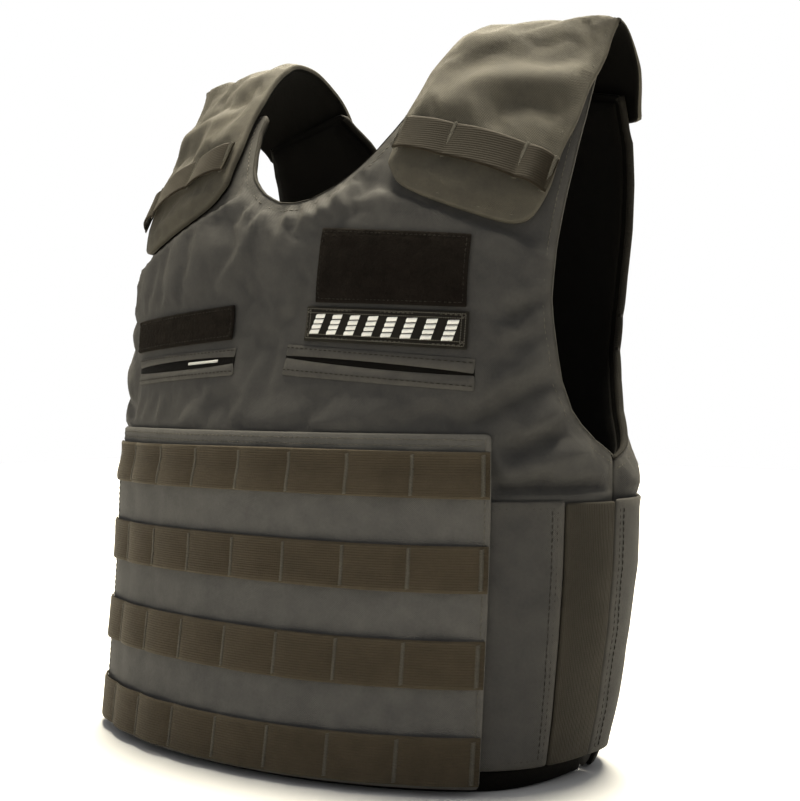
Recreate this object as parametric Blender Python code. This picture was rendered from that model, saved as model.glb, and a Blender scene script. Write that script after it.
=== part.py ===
"""Plate carrier vest: padded front and back panels, shoulder straps, a webbed front flap and a cummerbund."""
import bpy
import numpy as np
from mathutils import Vector
from mathutils.geometry import delaunay_2d_cdt

# Sizes of the vest, in metres
HALF_WIDTH = 0.1885
QUARTER_GIRTH = 0.239
CHEST_Z = 0.250
CREST_Z = 0.4404
CREST_SLOPE = 0.060
CREST_Y = 0.023
FRONT_LEAN = 0.007
FRONT_LEAN_RISE = 0.140
BACK_LEAN = 0.011
CENTRE_SHIFT_Y = 0.016

# Thicknesses, and how far each layer stands off the body surface
PANEL_THICK = 0.013
PANEL_RIM_DROP = 0.005
PANEL_RIM_REACH = 0.024
TAB_DROP = 0.0048
STRAP_UNDER = -0.0042
GAP = 0.0005
PATCH_GAP = 0.0008
LINING_THICK = 0.0012
LINING_GAP = 0.0015
CUMMERBUND_THICK = 0.0022
FLAP_THICK = 0.0023
PATCH_THICK = 0.0013
WEBBING_THICK = 0.0014
STRAP_RIM_THICK = 0.003
STRAP_LOFT = 0.0042
BINDING_THICK = 0.0010
BINDING_GAP = 0.0010

# Load-bearing webbing of the flap
WEBBING_WIDTH = 0.0254
WEBBING_CELL = 0.038
WEBBING_CELLS = 8
WEBBING_BULGE = 0.0013
ROW_TOPS = (0.1820, 0.1315, 0.0807, 0.0300)

# Grid pitch of each kind of sheet
PANEL_GRID = 0.0190
LINING_GRID = 0.0260
PATCH_GRID = 0.0180

# Plan sections: half depth, exponent
SECTIONS = {
    "front_low": (0.107, 2.05),
    "front_high": (0.084, 2.50),
    "back_low": (0.097, 2.00),
    "back_high": (0.104, 2.80),
}

# Depth and width of the lower vest: height, front depth, back depth, side width
LOWER_FORM = (
    (0.000, 1.190, 0.700, 0.885),
    (0.038, 1.135, 0.770, 0.935),
    (0.083, 1.075, 0.880, 0.972),
    (0.116, 1.036, 0.945, 0.990),
    (0.158, 1.008, 1.000, 1.000),
    (0.250, 1.000, 1.000, 1.000),
)

# Right half of each panel outline: along the cloth from the centre, up the cloth
FRONT_NECK = (
    (0.000, 0.3300), (0.013, 0.3315), (0.022, 0.3350), (0.0305, 0.3390), (0.0385, 0.3445),
    (0.046, 0.3510), (0.053, 0.3600), (0.060, 0.3745), (0.0665, 0.3900), (0.070, 0.4080),
)
FRONT_ARM = (
    (0.181, 0.4080), (0.1848, 0.3740), (0.1872, 0.3400), (0.1878, 0.3100), (0.1878, 0.2650),
    (0.1895, 0.2520), (0.1925, 0.2360), (0.1962, 0.2200), (0.2033, 0.2040), (0.2102, 0.1960),
    (0.2207, 0.1875), (0.2370, 0.1790),
)
BACK_NECK = (
    (0.000, 0.3560), (0.025, 0.3580), (0.042, 0.3660), (0.053, 0.3800),
    (0.060, 0.3960), (0.068, 0.4090), (0.0735, 0.4220),
)
BACK_ARM = (
    (0.154, 0.3960), (0.156, 0.3740), (0.156, 0.3400), (0.153, 0.3120), (0.148, 0.2850),
    (0.143, 0.2600), (0.148, 0.2380), (0.162, 0.2200), (0.180, 0.2020), (0.208, 0.1860), (0.2400, 0.1770),
)

# Folds of the padded panels: from s, v to s, v, width, height
FRONT_FOLDS = (
    (0.158, 0.2440, 0.190, 0.2530, 0.011, -0.0040),
    (0.162, 0.2280, 0.192, 0.2340, 0.010, 0.0030),
    (0.152, 0.1990, 0.196, 0.2120, 0.011, -0.0042),
    (0.176, 0.1890, 0.214, 0.1880, 0.009, -0.0030),
    (0.156, 0.1780, 0.205, 0.1730, 0.011, -0.0038),
    (0.190, 0.1700, 0.230, 0.1680, 0.0075, 0.0035),
    (0.012, 0.3280, 0.016, 0.3180, 0.011, -0.0020),
    (0.036, 0.3350, 0.042, 0.3230, 0.011, -0.0020),
)
BACK_FOLDS = (
    (0.060, 0.1800, 0.190, 0.1950, 0.016, -0.0030),
    (0.150, 0.2300, 0.190, 0.2500, 0.012, -0.0036),
    (0.020, 0.3500, 0.030, 0.3200, 0.011, -0.0024),
    (0.100, 0.0500, 0.180, 0.0800, 0.014, -0.0026),
)

# Cummerbund pieces: name, from s, to s, lower v, upper v
SIDE_PIECES = (
    ("side_panel_front", 0.1480, 0.1960, 0.0080, 0.1550),
    ("side_elastic", 0.1965, 0.2290, 0.0080, 0.1540),
    ("side_panel_back", 0.2295, 0.3300, 0.0080, 0.1550),
)

# Patches of the chest: name, then s, v of the four corners
CHEST_PATCHES = (
    ("chest_loop_panel", (0.0355, 0.2655), (0.1385, 0.2600), (0.1370, 0.3005), (0.0345, 0.3095)),
    ("name_strip", (0.0305, 0.2430), (0.1400, 0.2366), (0.1405, 0.2575), (0.0295, 0.2635)),
    ("chest_loop_strip", (-0.1425, 0.2388), (-0.0310, 0.2450), (-0.0335, 0.2664), (-0.1445, 0.2595)),
    ("pocket_welt_upper_left", (0.0185, 0.2346), (0.1448, 0.2236), (0.1452, 0.2318), (0.0180, 0.2414)),
    ("pocket_welt_lower_left", (0.0190, 0.2236), (0.1455, 0.2142), (0.1452, 0.2226), (0.0190, 0.2336)),
    ("pocket_welt_upper_right", (-0.1365, 0.2286), (-0.0255, 0.2345), (-0.0262, 0.2402), (-0.1388, 0.2350)),
    ("pocket_welt_lower_right", (-0.1345, 0.2182), (-0.0225, 0.2238), (-0.0250, 0.2308), (-0.1360, 0.2254)),
    ("zip_right", (-0.0680, 0.2295), (-0.0400, 0.2309), (-0.0400, 0.2329), (-0.0680, 0.2315)),
)

# Where each panel steps down under the strap: height at s = 0.070, fall per metre of s
TAB_STEP = {"front": (0.3275, 0.36), "back": (0.365, 0.00)}
TAB_STEP_RUN = 0.008

# End of the strap on the front tab: share of the strap's width, height up the cloth
STRAP_END = (
    (0.00, 0.3480), (0.035, 0.3440), (0.10, 0.3350), (0.29, 0.3262), (0.51, 0.3182),
    (0.70, 0.3115), (0.82, 0.3076), (0.90, 0.3066), (0.965, 0.3095), (1.00, 0.3180),
)
STRAP_BACK_V = 0.3780
# Sides of the strap: cloth length from the crest (front negative), inner x, outer x
STRAP_SIDES = (
    (-0.150, 0.0665, 0.1600), (-0.130, 0.0665, 0.1630), (-0.110, 0.0670, 0.1650), (-0.090, 0.0690, 0.1665),
    (-0.060, 0.0715, 0.1680), (-0.030, 0.0745, 0.1705), (0.000, 0.0770, 0.1745), (0.030, 0.0772, 0.1725),
    (0.060, 0.0765, 0.1675), (0.100, 0.0755, 0.1620),
)
STRAP_WEB_LOW = -0.1275
STRAP_WEB_SLANT = -0.0105
STRAP_WEB_WIDTH = 0.0215
STRAP_TACKS = (0.05, 0.39, 0.833, 0.985)

# Colours and roughness of each material
MATERIALS = {
    "canvas": ((0.20, 0.20, 0.19), 0.85),
    "webbing": ((0.19, 0.17, 0.13), 0.80),
    "elastic": ((0.17, 0.15, 0.12), 0.80),
    "loop": ((0.03, 0.03, 0.03), 0.95),
    "lining": ((0.02, 0.02, 0.02), 0.90),
    "label": ((0.05, 0.05, 0.05), 0.70),
    "zip": ((0.60, 0.60, 0.58), 0.50),
}


def clear_objects():
    for item in list(bpy.data.objects):
        bpy.data.objects.remove(item, do_unlink=True)


def ease(t):
    t = np.clip(t, 0.0, 1.0)
    return t * t * (3.0 - 2.0 * t)


def swell(t):
    return np.sin(0.5 * np.pi * np.clip(t, 0.0, 1.0))


def section_table(depth, power, count=500):
    angle = np.linspace(0.0, 0.5 * np.pi, count)
    x = HALF_WIDTH * np.sin(angle) ** (2.0 / power)
    y = depth * np.abs(np.cos(angle)) ** (2.0 / power)
    run = np.concatenate([[0.0], np.cumsum(np.hypot(np.diff(x), np.diff(y)))])
    return run * QUARTER_GIRTH / run[-1], x, y


TABLES = {name: section_table(*row) for name, row in SECTIONS.items()}
FORM = np.array(LOWER_FORM)
NODES_X, NODES_W = np.polynomial.legendre.leggauss(10)


def plan(s, v):
    """Plan position of the cloth: s runs round from the front centre, v up the cloth."""
    around = np.abs(s)
    from_back = 2.0 * QUARTER_GIRTH - around
    high = ease((v - 0.180) / 0.090)

    def mix(low_name, high_name, run, column):
        low = np.interp(run, TABLES[low_name][0], TABLES[low_name][column])
        top = np.interp(run, TABLES[high_name][0], TABLES[high_name][column])
        return (1.0 - high) * low + high * top

    front = around <= QUARTER_GIRTH
    x = np.where(front, mix("front_low", "front_high", around, 1), mix("back_low", "back_high", from_back, 1))
    y_front = -mix("front_low", "front_high", around, 2) * np.interp(v, FORM[:, 0], FORM[:, 1])
    y_back = mix("back_low", "back_high", from_back, 2) * np.interp(v, FORM[:, 0], FORM[:, 2])
    narrow = (1.0 - np.interp(v, FORM[:, 0], FORM[:, 3])) * ease((around - 0.150) / 0.090)
    return np.sign(s) * x * (1.0 - narrow), np.where(front, y_front, y_back)


def arc_length(angle, depth, height):
    share = 0.5 * (NODES_X + 1.0)
    part = angle[..., None] * share
    pace = np.sqrt((depth[..., None] * np.sin(part)) ** 2 + (height[..., None] * np.cos(part)) ** 2)
    return angle * (pace * 0.5 * NODES_W).sum(axis=-1)


def arch_angle(run, depth, height):
    angle = np.clip(2.0 * run / (depth + height), 0.0, 1.5)
    for _ in range(8):
        pace = np.sqrt((depth * np.sin(angle)) ** 2 + (height * np.cos(angle)) ** 2)
        angle = angle - (arc_length(angle, depth, height) - run) / np.maximum(pace, 1e-4)
    return angle


def arch(x, reach, run):
    """Shoulder arch above the chest line: a quarter ellipse from the panel to the crest."""
    height = CREST_Z - CREST_SLOPE * np.abs(x) - CHEST_Z
    angle = arch_angle(run, np.abs(reach) + 1e-4, height)
    rise = np.sin(angle)
    amount = np.where(reach < 0.0, FRONT_LEAN + FRONT_LEAN_RISE * np.abs(x), BACK_LEAN)
    lean = amount * np.sin(2.0 * angle) * rise
    return np.stack([x, CREST_Y + reach * np.cos(angle) + lean, CHEST_Z + height * rise], axis=-1)


def body_point(s, v):
    s, v = np.broadcast_arrays(np.asarray(s, float), np.asarray(v, float))
    x, y = plan(s, v)
    point = arch(x, y - CREST_Y, np.maximum(v - CHEST_Z, 0.0))
    point[..., 2] = np.where(v <= CHEST_Z, v, point[..., 2])
    return point


def back_point(r, v):
    """The same surface, with r measured from the back centre."""
    r = np.asarray(r, float)
    s = np.where(r < 0.0, 2.0 * QUARTER_GIRTH + r, r - 2.0 * QUARTER_GIRTH)
    return body_point(s, v)


def strap_point(x, d):
    """Over the shoulder at a fixed x: d is the cloth length from the crest, front negative."""
    x, d = np.broadcast_arrays(np.asarray(x, float), np.asarray(d, float))
    front = -np.interp(x, TABLES["front_high"][1], TABLES["front_high"][2])
    back = np.interp(x, TABLES["back_high"][1], TABLES["back_high"][2])
    reach = np.where(d < 0.0, front, back) - CREST_Y
    height = CREST_Z - CREST_SLOPE * np.abs(x) - CHEST_Z
    whole = arc_length(np.full(x.shape, 0.5 * np.pi), np.abs(reach), height)
    return arch(x, reach, whole - np.abs(d))


def strap_reach(x, v, side):
    """Cloth length from the crest to the height v up the front (-1) or back (1)."""
    x = np.asarray(x, float)
    name = "front_high" if side < 0 else "back_high"
    reach = np.interp(x, TABLES[name][1], TABLES[name][2]) - side * CREST_Y
    height = CREST_Z - CREST_SLOPE * x - CHEST_Z
    whole = arc_length(np.full(x.shape, 0.5 * np.pi), reach, height)
    return side * (whole - (v - CHEST_Z))


def lifted(surface, a, b, lift):
    """Point of a surface, moved out along its normal."""
    step = 5e-4
    along = surface(a + step, b) - surface(a - step, b)
    up = surface(a, b + step) - surface(a, b - step)
    normal = np.cross(along, up)
    normal /= np.linalg.norm(normal, axis=-1, keepdims=True)
    return surface(a, b) + normal * np.asarray(lift)[..., None]


def edge_distance(points, loop):
    start = loop
    end = np.roll(loop, -1, axis=0)
    line = end - start
    best = np.full(len(points), 1.0)
    for a, l in zip(start, line):
        share = np.clip(((points - a) @ l) / max(l @ l, 1e-12), 0.0, 1.0)
        best = np.minimum(best, np.linalg.norm(points - a - share[:, None] * l, axis=1))
    return best


def densify(corners, pitch):
    rows = []
    corners = np.asarray(corners, float)
    for a, b in zip(corners, np.roll(corners, -1, axis=0)):
        count = max(1, int(np.ceil(np.linalg.norm(b - a) / pitch - 1e-6)))
        rows.extend(a + (b - a) * i / count for i in range(count))
    return np.array(rows)


def triangulate(loop, pitch, extra=None):
    """Flat triangles inside a loop, on a grid that all sheets share."""
    low = np.floor(loop.min(axis=0) / pitch)
    high = np.ceil(loop.max(axis=0) / pitch)
    s, v = np.meshgrid(np.arange(low[0], high[0] + 1) * pitch, np.arange(low[1], high[1] + 1) * pitch)
    grid = np.stack([s.ravel(), v.ravel()], axis=1)
    grid = grid[edge_distance(grid, loop) > 0.5 * pitch]
    if extra is not None:
        near = np.linalg.norm(grid[:, None] - extra[None, :], axis=2).min(axis=1)
        grid = np.vstack([grid[near > 0.55 * pitch], extra])
    points = [Vector((float(p[0]), float(p[1]))) for p in np.vstack([loop, grid])]
    edges = [(i, (i + 1) % len(loop)) for i in range(len(loop))]
    flat, _, faces, origin, _, _ = delaunay_2d_cdt(points, edges, [], 1, 1e-7)
    flat = np.array([[p.x, p.y] for p in flat])
    keep = []
    for face in faces:
        centre = flat[list(face)].mean(axis=0)
        if inside(centre, loop):
            a, b, c = flat[list(face)]
            turn = (b[0] - a[0]) * (c[1] - a[1]) - (b[1] - a[1]) * (c[0] - a[0])
            keep.append(tuple(face) if turn > 0 else tuple(reversed(face)))
    used = sorted({i for face in keep for i in face})
    renumber = {old: new for new, old in enumerate(used)}
    return flat[used], [tuple(renumber[i] for i in face) for face in keep]


def inside(point, loop):
    x, y = point
    ends = np.roll(loop, -1, axis=0)
    cross = (loop[:, 1] > y) != (ends[:, 1] > y)
    at = loop[:, 0] + (y - loop[:, 1]) * (ends[:, 0] - loop[:, 0]) / np.where(cross, ends[:, 1] - loop[:, 1], 1.0)
    return int(np.sum(cross & (x < at))) % 2 == 1


def make_material(name, kind):
    colour, rough = MATERIALS[kind]
    material = bpy.data.materials.new(name + "_material")
    material.use_nodes = True
    shader = material.node_tree.nodes["Principled BSDF"]
    shader.inputs["Base Color"].default_value = (*colour, 1.0)
    shader.inputs["Roughness"].default_value = rough
    return material


def make_node(name, verts, faces, kind):
    verts = np.asarray(verts, float) + np.array([0.0, CENTRE_SHIFT_Y, 0.0])
    mesh = bpy.data.meshes.new(name)
    mesh.from_pydata([tuple(float(c) for c in p) for p in verts], [], faces)
    mesh.materials.append(make_material(name, kind))
    mesh.update()
    node = bpy.data.objects.new(name, mesh)
    bpy.context.scene.collection.objects.link(node)
    return node


def close_sheet(faces, count):
    """Faces of a sheet's outer and inner side, joined round every open edge."""
    sides = {}
    for face in faces:
        for i, a in enumerate(face):
            sides[(a, face[(i + 1) % len(face)])] = True
    rim = [(b, a, a + count, b + count) for a, b in sides if (b, a) not in sides]
    return list(faces) + [tuple(i + count for i in reversed(face)) for face in faces] + rim


def make_sheet(name, outline, pitch, outer, inner, kind, surface=body_point, extra=None):
    loop = densify(outline, pitch)
    flat, faces = triangulate(loop, pitch, extra)
    top = lifted(surface, flat[:, 0], flat[:, 1], outer(flat))
    bottom = lifted(surface, flat[:, 0], flat[:, 1], inner(flat))
    hem = flat[:, 1] < 1e-6
    top[hem, 2] = 0.0
    bottom[hem, 2] = 0.0
    return make_node(name, np.vstack([top, bottom]), close_sheet(faces, len(flat)), kind)


def make_strip(name, a, b, outer, inner, kind, surface=body_point, flip=False):
    """A sheet on a regular grid of a by b stations."""
    rows, cols = a.shape
    index = np.arange(rows * cols).reshape(rows, cols)
    faces = [
        (int(index[i, j]), int(index[i, j + 1]), int(index[i + 1, j + 1]), int(index[i + 1, j]))
        for i in range(rows - 1) for j in range(cols - 1)
    ]
    top = lifted(surface, a.ravel(), b.ravel(), outer.ravel())
    bottom = lifted(surface, a.ravel(), b.ravel(), inner.ravel())
    verts = np.vstack([top, bottom])
    faces = close_sheet(faces, rows * cols)
    if flip:
        verts = verts * np.array([-1.0, 1.0, 1.0])
        faces = [tuple(reversed(face)) for face in faces]
    return make_node(name, verts, faces, kind)


def mirror_outline(half):
    """A closed outline from its right half, counter-clockwise from the hem."""
    right = list(half)
    left = [(-s, v) for s, v in reversed(half) if s > 0.0]
    return right + left


def panel_half(neck, arm):
    """Right half from the hem up the side, round the armhole and down the neck."""
    side = arm[-1][0]
    return [(0.0, 0.0), (side, 0.0)] + list(reversed(arm)) + list(reversed(neck))


def fold_height(flat, folds):
    total = np.zeros(len(flat))
    for s0, v0, s1, v1, width, height in folds:
        for sign in (1.0, -1.0):
            a = np.array([sign * s0, v0])
            line = np.array([sign * s1, v1]) - a
            share = np.clip(((flat - a) @ line) / (line @ line), -0.15, 1.15)
            away = np.linalg.norm(flat - a - share[:, None] * line, axis=1)
            fade = np.clip(4.0 * share * (1.0 - share) + 0.35, 0.0, 1.0)
            total += height * np.exp(-(away / width) ** 2) * fade
    return total


def tab_share(flat, panel):
    """How far a panel has stepped down to its shoulder tab."""
    start, fall = TAB_STEP[panel]
    line = start - fall * (np.abs(flat[:, 0]) - 0.070)
    return ease((flat[:, 1] - line) / TAB_STEP_RUN) * ease((np.abs(flat[:, 0]) - 0.045) / 0.018)


def tab_points(panel):
    """Extra stations along the top and foot of the step."""
    start, fall = TAB_STEP[panel]
    rows = []
    for sign in (-1.0, 1.0):
        for s in np.arange(0.078, 0.172, 0.015):
            line = start - fall * (s - 0.070)
            rows.append((sign * s, line))
            rows.append((sign * s, line + TAB_STEP_RUN))
    return np.array(rows)


def panel_lift(outline, folds, panel):
    loop = np.asarray(outline, float)

    def lift(flat):
        rim = swell(edge_distance(flat, loop) / PANEL_RIM_REACH)
        tab = tab_share(flat, panel)
        body = PANEL_RIM_DROP * (rim - 1.0) * (1.0 - 0.6 * tab)
        return body - TAB_DROP * tab + fold_height(flat, folds) * rim * (1.0 - tab)

    return lift


def constant(value):
    return lambda flat: np.full(len(flat), value)


def make_panel(name, neck, arm, folds, surface):
    outline = mirror_outline(panel_half(neck, arm))
    lift = panel_lift(outline, folds, name)
    make_sheet(name + "_carrier", outline, PANEL_GRID, lift, constant(-PANEL_THICK), "canvas", surface,
               tab_points(name))
    lining_out = -PANEL_THICK - LINING_GAP
    shrunk = inset(outline, 0.006)
    make_sheet(name + "_lining", shrunk, LINING_GRID, constant(lining_out),
               constant(lining_out - LINING_THICK), "lining", surface)
    return lift


def inset(outline, amount):
    loop = np.asarray(outline, float)
    before = loop - np.roll(loop, 1, axis=0)
    after = np.roll(loop, -1, axis=0) - loop
    unit_a = before / np.linalg.norm(before, axis=1, keepdims=True)
    unit_b = after / np.linalg.norm(after, axis=1, keepdims=True)
    inward = np.stack([-(unit_a + unit_b)[:, 1], (unit_a + unit_b)[:, 0]], axis=1)
    inward /= np.linalg.norm(inward, axis=1, keepdims=True)
    turn = np.clip((unit_a * unit_b).sum(axis=1), -1.0, 1.0)
    stretch = np.minimum(1.0 / np.cos(0.5 * np.arccos(turn)), 1.6)
    return loop + inward * (amount * stretch)[:, None]


def make_binding(name, path, surface, panel, mirror=1.0):
    """Edge tape: a flat tape along a panel's rim, a hair outside it."""
    path = np.array([[mirror * s, v] for s, v in path])
    if mirror < 0.0:
        path = path[::-1]
    dense = [path[0]]
    for a, b in zip(path[:-1], path[1:]):
        count = max(1, int(np.ceil(np.linalg.norm(b - a) / PANEL_GRID - 1e-6)))
        dense.extend(a + (b - a) * (i + 1) / count for i in range(count))
    path = np.array(dense)
    along = np.gradient(path, axis=0)
    along /= np.linalg.norm(along, axis=1, keepdims=True)
    outward = np.stack([along[:, 1], -along[:, 0]], axis=1)
    near = path + outward * BINDING_GAP
    far = path + outward * (BINDING_GAP + BINDING_THICK)
    low = -PANEL_THICK - 0.0006
    high = -PANEL_RIM_DROP + 0.0006
    tab = (TAB_DROP - 0.6 * PANEL_RIM_DROP) * tab_share(path, panel)
    corners = [
        lifted(surface, near[:, 0], near[:, 1], high - tab),
        lifted(surface, far[:, 0], far[:, 1], high - tab),
        lifted(surface, far[:, 0], far[:, 1], np.full(len(path), low)),
        lifted(surface, near[:, 0], near[:, 1], np.full(len(path), low)),
    ]
    count = len(path)
    faces = []
    for i in range(count - 1):
        for c in range(4):
            d = (c + 1) % 4
            faces.append((c * count + i, c * count + i + 1, d * count + i + 1, d * count + i))
    faces.append(tuple(c * count for c in (0, 1, 2, 3)))
    faces.append(tuple(c * count + count - 1 for c in (3, 2, 1, 0)))
    make_node(name, np.vstack(corners), [tuple(reversed(face)) for face in faces], "webbing")


def make_flap():
    def under(flat):
        return 0.0040 - 0.0030 * ease((flat[:, 1] - 0.158) / 0.018)

    half = 0.5 * WEBBING_CELL * WEBBING_CELLS + 0.004
    outline = ((-half, 0.0030), (half, 0.0030), (half, 0.1910), (-half, 0.1910))
    make_sheet("front_flap", outline, PANEL_GRID, lambda flat: under(flat) + FLAP_THICK, under, "canvas")
    return lambda flat: under(flat) + FLAP_THICK


def make_webbing_rows(flap_top):
    half = 0.5 * WEBBING_CELL * WEBBING_CELLS
    steps = 4
    s = np.linspace(-half, half, WEBBING_CELLS * steps + 1)
    bulge = WEBBING_BULGE * np.abs(np.sin(np.pi * (s + half) / WEBBING_CELL))
    for number, top in enumerate(ROW_TOPS, start=1):
        v = np.array([top - WEBBING_WIDTH, top])
        a, b = np.meshgrid(s, v)
        base = flap_top(np.stack([a.ravel(), b.ravel()], axis=1)).reshape(a.shape)
        under = base + GAP + 0.0002 + bulge[None, :]
        make_strip("webbing_row_%d" % number, a, b, under + WEBBING_THICK, under, "webbing")


def make_sides():
    for name, s0, s1, v0, v1 in SIDE_PIECES:
        for side, sign in (("left", 1.0), ("right", -1.0)):
            outline = [(s0, v0), (s1, v0), (s1, v1), (s0, v1)]
            if sign < 0.0:
                outline = [(-s, v) for s, v in reversed(outline)]
            kind = "elastic" if "elastic" in name else "canvas"
            make_sheet(name + "_" + side, outline, PATCH_GRID, constant(0.0008 + CUMMERBUND_THICK),
                       constant(0.0008), kind)


def make_patches(lift):
    kinds = {"chest_loop_panel": "loop", "chest_loop_strip": "loop", "name_strip": "label", "zip_right": "zip"}
    for name, *corners in CHEST_PATCHES:
        thick = 0.0007 if name == "zip_right" else PATCH_THICK
        make_sheet(name, corners, PATCH_GRID, lambda flat: lift(flat) + PATCH_GAP + thick,
                   lambda flat: lift(flat) + PATCH_GAP, kinds.get(name, "canvas"))


def strap_lift(share, d, d_front, d_back, width):
    """Top face of a strap: thin at its rim, padded in the middle."""
    across = np.minimum(share, 1.0 - share) * width
    along = np.minimum(d - d_front, d_back - d)
    return STRAP_UNDER + STRAP_RIM_THICK + STRAP_LOFT * swell(np.minimum(across, along) / 0.020)


def strap_x(share, d):
    sides = np.array(STRAP_SIDES)
    inner = np.interp(d, sides[:, 0], sides[:, 1])
    outer = np.interp(d, sides[:, 0], sides[:, 2])
    return inner + (outer - inner) * share


def strap_ends(share):
    """Cloth length from the crest to the strap's two ends."""
    end = np.array(STRAP_END)
    front = strap_reach(strap_x(share, -0.140), np.interp(share, end[:, 0], end[:, 1]), -1)
    back = strap_reach(strap_x(share, 0.090), np.full(share.shape, STRAP_BACK_V), 1)
    return front, back


def make_straps():
    width = STRAP_SIDES[0][2] - STRAP_SIDES[0][1]
    share = np.array([0.0, 0.06, 0.16, 0.32, 0.50, 0.68, 0.84, 0.94, 1.0])
    front, back = strap_ends(share)
    row = np.array([0.0, 0.03, 0.08, *np.linspace(0.15, 0.88, 11), 0.95, 1.0])
    d = front[None, :] + row[:, None] * (back - front)[None, :]
    u = np.broadcast_to(share, d.shape)
    a = strap_x(u, d)
    top = strap_lift(u, d, front[None, :], back[None, :], width)
    under = np.full(d.shape, STRAP_UNDER)
    # The webbing lies near the strap's end
    tacks = np.array(STRAP_TACKS)
    u_web = np.concatenate([np.linspace(a0, a1, 5)[:-1] for a0, a1 in zip(tacks[:-1], tacks[1:])] + [tacks[-1:]])
    front_web, back_web = strap_ends(u_web)
    low = STRAP_WEB_LOW + STRAP_WEB_SLANT * u_web
    d_web = low[None, :] + STRAP_WEB_WIDTH * np.array([0.0, 0.5, 1.0])[:, None]
    u_grid = np.broadcast_to(u_web, d_web.shape)
    a_web = strap_x(u_grid, d_web)
    cell = np.interp(u_web, tacks, np.arange(len(tacks)))
    bulge = 0.0012 * np.abs(np.sin(np.pi * cell))
    face = strap_lift(u_grid, d_web, front_web[None, :], back_web[None, :], width)
    under_web = face + 0.0011 + bulge[None, :]
    for side, flip in (("left", False), ("right", True)):
        make_strip("shoulder_strap_" + side, a, d, top, under, "canvas", strap_point, flip)
        make_strip("strap_webbing_" + side, a_web, d_web, under_web + WEBBING_THICK, under_web,
                   "webbing", strap_point, flip)


def build_vest():
    clear_objects()
    front_lift = make_panel("front", FRONT_NECK, FRONT_ARM, FRONT_FOLDS, body_point)
    make_panel("back", BACK_NECK, BACK_ARM, BACK_FOLDS, back_point)
    neck = [(-s, v) for s, v in reversed(FRONT_NECK)] + list(FRONT_NECK[1:])
    make_binding("neck_binding_front", neck[::-1], body_point, "front")
    neck = [(-s, v) for s, v in reversed(BACK_NECK)] + list(BACK_NECK[1:])
    make_binding("neck_binding_back", neck[::-1], back_point, "back")
    for panel, arm, surface, sign in (("front", FRONT_ARM, body_point, 1.0), ("back", BACK_ARM, back_point, -1.0)):
        make_binding("armhole_binding_" + panel + "_left", arm[::-1], surface, panel, sign)
        make_binding("armhole_binding_" + panel + "_right", arm[::-1], surface, panel, -sign)
    flap_top = make_flap()
    make_webbing_rows(flap_top)
    make_sides()
    make_patches(front_lift)
    make_straps()


build_vest()
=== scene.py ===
"""Dressed view of a soft body-armour vest: padded cloth, webbing, stitching, patches and lining."""
import math

import bpy
import numpy as np
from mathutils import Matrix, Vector, noise
from mathutils.geometry import delaunay_2d_cdt
from mathutils.kdtree import KDTree


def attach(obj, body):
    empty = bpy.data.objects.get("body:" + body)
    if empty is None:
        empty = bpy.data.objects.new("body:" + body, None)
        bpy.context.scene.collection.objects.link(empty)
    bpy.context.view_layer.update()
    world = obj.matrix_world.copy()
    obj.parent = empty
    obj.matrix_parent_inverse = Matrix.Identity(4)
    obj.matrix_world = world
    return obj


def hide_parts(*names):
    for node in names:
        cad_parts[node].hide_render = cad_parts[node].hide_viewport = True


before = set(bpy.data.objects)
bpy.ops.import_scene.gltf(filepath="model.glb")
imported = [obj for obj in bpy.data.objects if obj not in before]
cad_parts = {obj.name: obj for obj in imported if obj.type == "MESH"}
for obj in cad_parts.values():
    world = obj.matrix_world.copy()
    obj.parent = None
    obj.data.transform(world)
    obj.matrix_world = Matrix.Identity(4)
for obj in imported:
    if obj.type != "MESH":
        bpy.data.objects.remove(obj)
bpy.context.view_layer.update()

# Camera: focal length and frame width in pixels, sensor in mm, bearing, place, rise of the horizon
FOCAL_PX = 1490.0
FRAME_PX = 800.0
SENSOR_MM = 36.0
BEARING = math.radians(39.4)
EYE = (0.6196, -0.7044, 0.215)
HORIZON_RISE_PX = 10.5

# Studio: the world is full bright opposite SHADE_SIDE and at SHADE_LEVEL elsewhere; key and top light; floor
SHADE_SIDE = (0.635, -0.773, 0.0)
SHADE_LEVEL = 0.60
SHADE_RANGE = (-0.92, -0.68)
KEY_FROM = (-0.12, 0.27, 0.95)
KEY_POWER = 16.5
KEY_SPREAD = 28.0
KEY_COLOUR = (1.0, 0.93, 0.76)
TOP_PLACE = (-0.80, 0.85, 1.25)
TOP_AIM = (0.0, 0.0, 0.40)
TOP_POWER = 42.0
TOP_SIZE = 0.9
TOP_COLOUR = (1.0, 0.90, 0.70)
FLOOR_GREY = 0.40
FLOOR_HALF = 3.0

# Sizes of the vest, in metres
HALF_WIDTH = 0.1885
QUARTER_GIRTH = 0.239
CHEST_Z = 0.250
CREST_Z = 0.4404
CREST_SLOPE = 0.060
CREST_Y = 0.023
FRONT_LEAN = 0.007
FRONT_LEAN_RISE = 0.140
BACK_LEAN = 0.011
CENTRE_SHIFT_Y = 0.016

# Layers, measured out from the body surface
PANEL_THICK = 0.013
PANEL_RIM_DROP = 0.005
PANEL_RIM_REACH = 0.024
TAB_DROP = 0.0048
STRAP_UNDER = -0.0042
STRAP_RIM_THICK = 0.003
STRAP_LOFT = 0.0042
CUMMERBUND_UNDER = 0.0008
CUMMERBUND_THICK = 0.0022
FLAP_THICK = 0.0023
PATCH_GAP = 0.0008
RIM_RADIUS = 0.0016
RIM_THIN_REACH = 0.018
FLOOR_GAP = 0.0003

# Pitch of the padded skins and of the tapes, and how far the seams lie from the edges
SKIN_PITCH = 0.0036
TAPE_PITCH = 0.0045
PANEL_SEAM = 0.0060
STRAP_SEAM = 0.0036
STRAP_CORNER = 0.012

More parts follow.
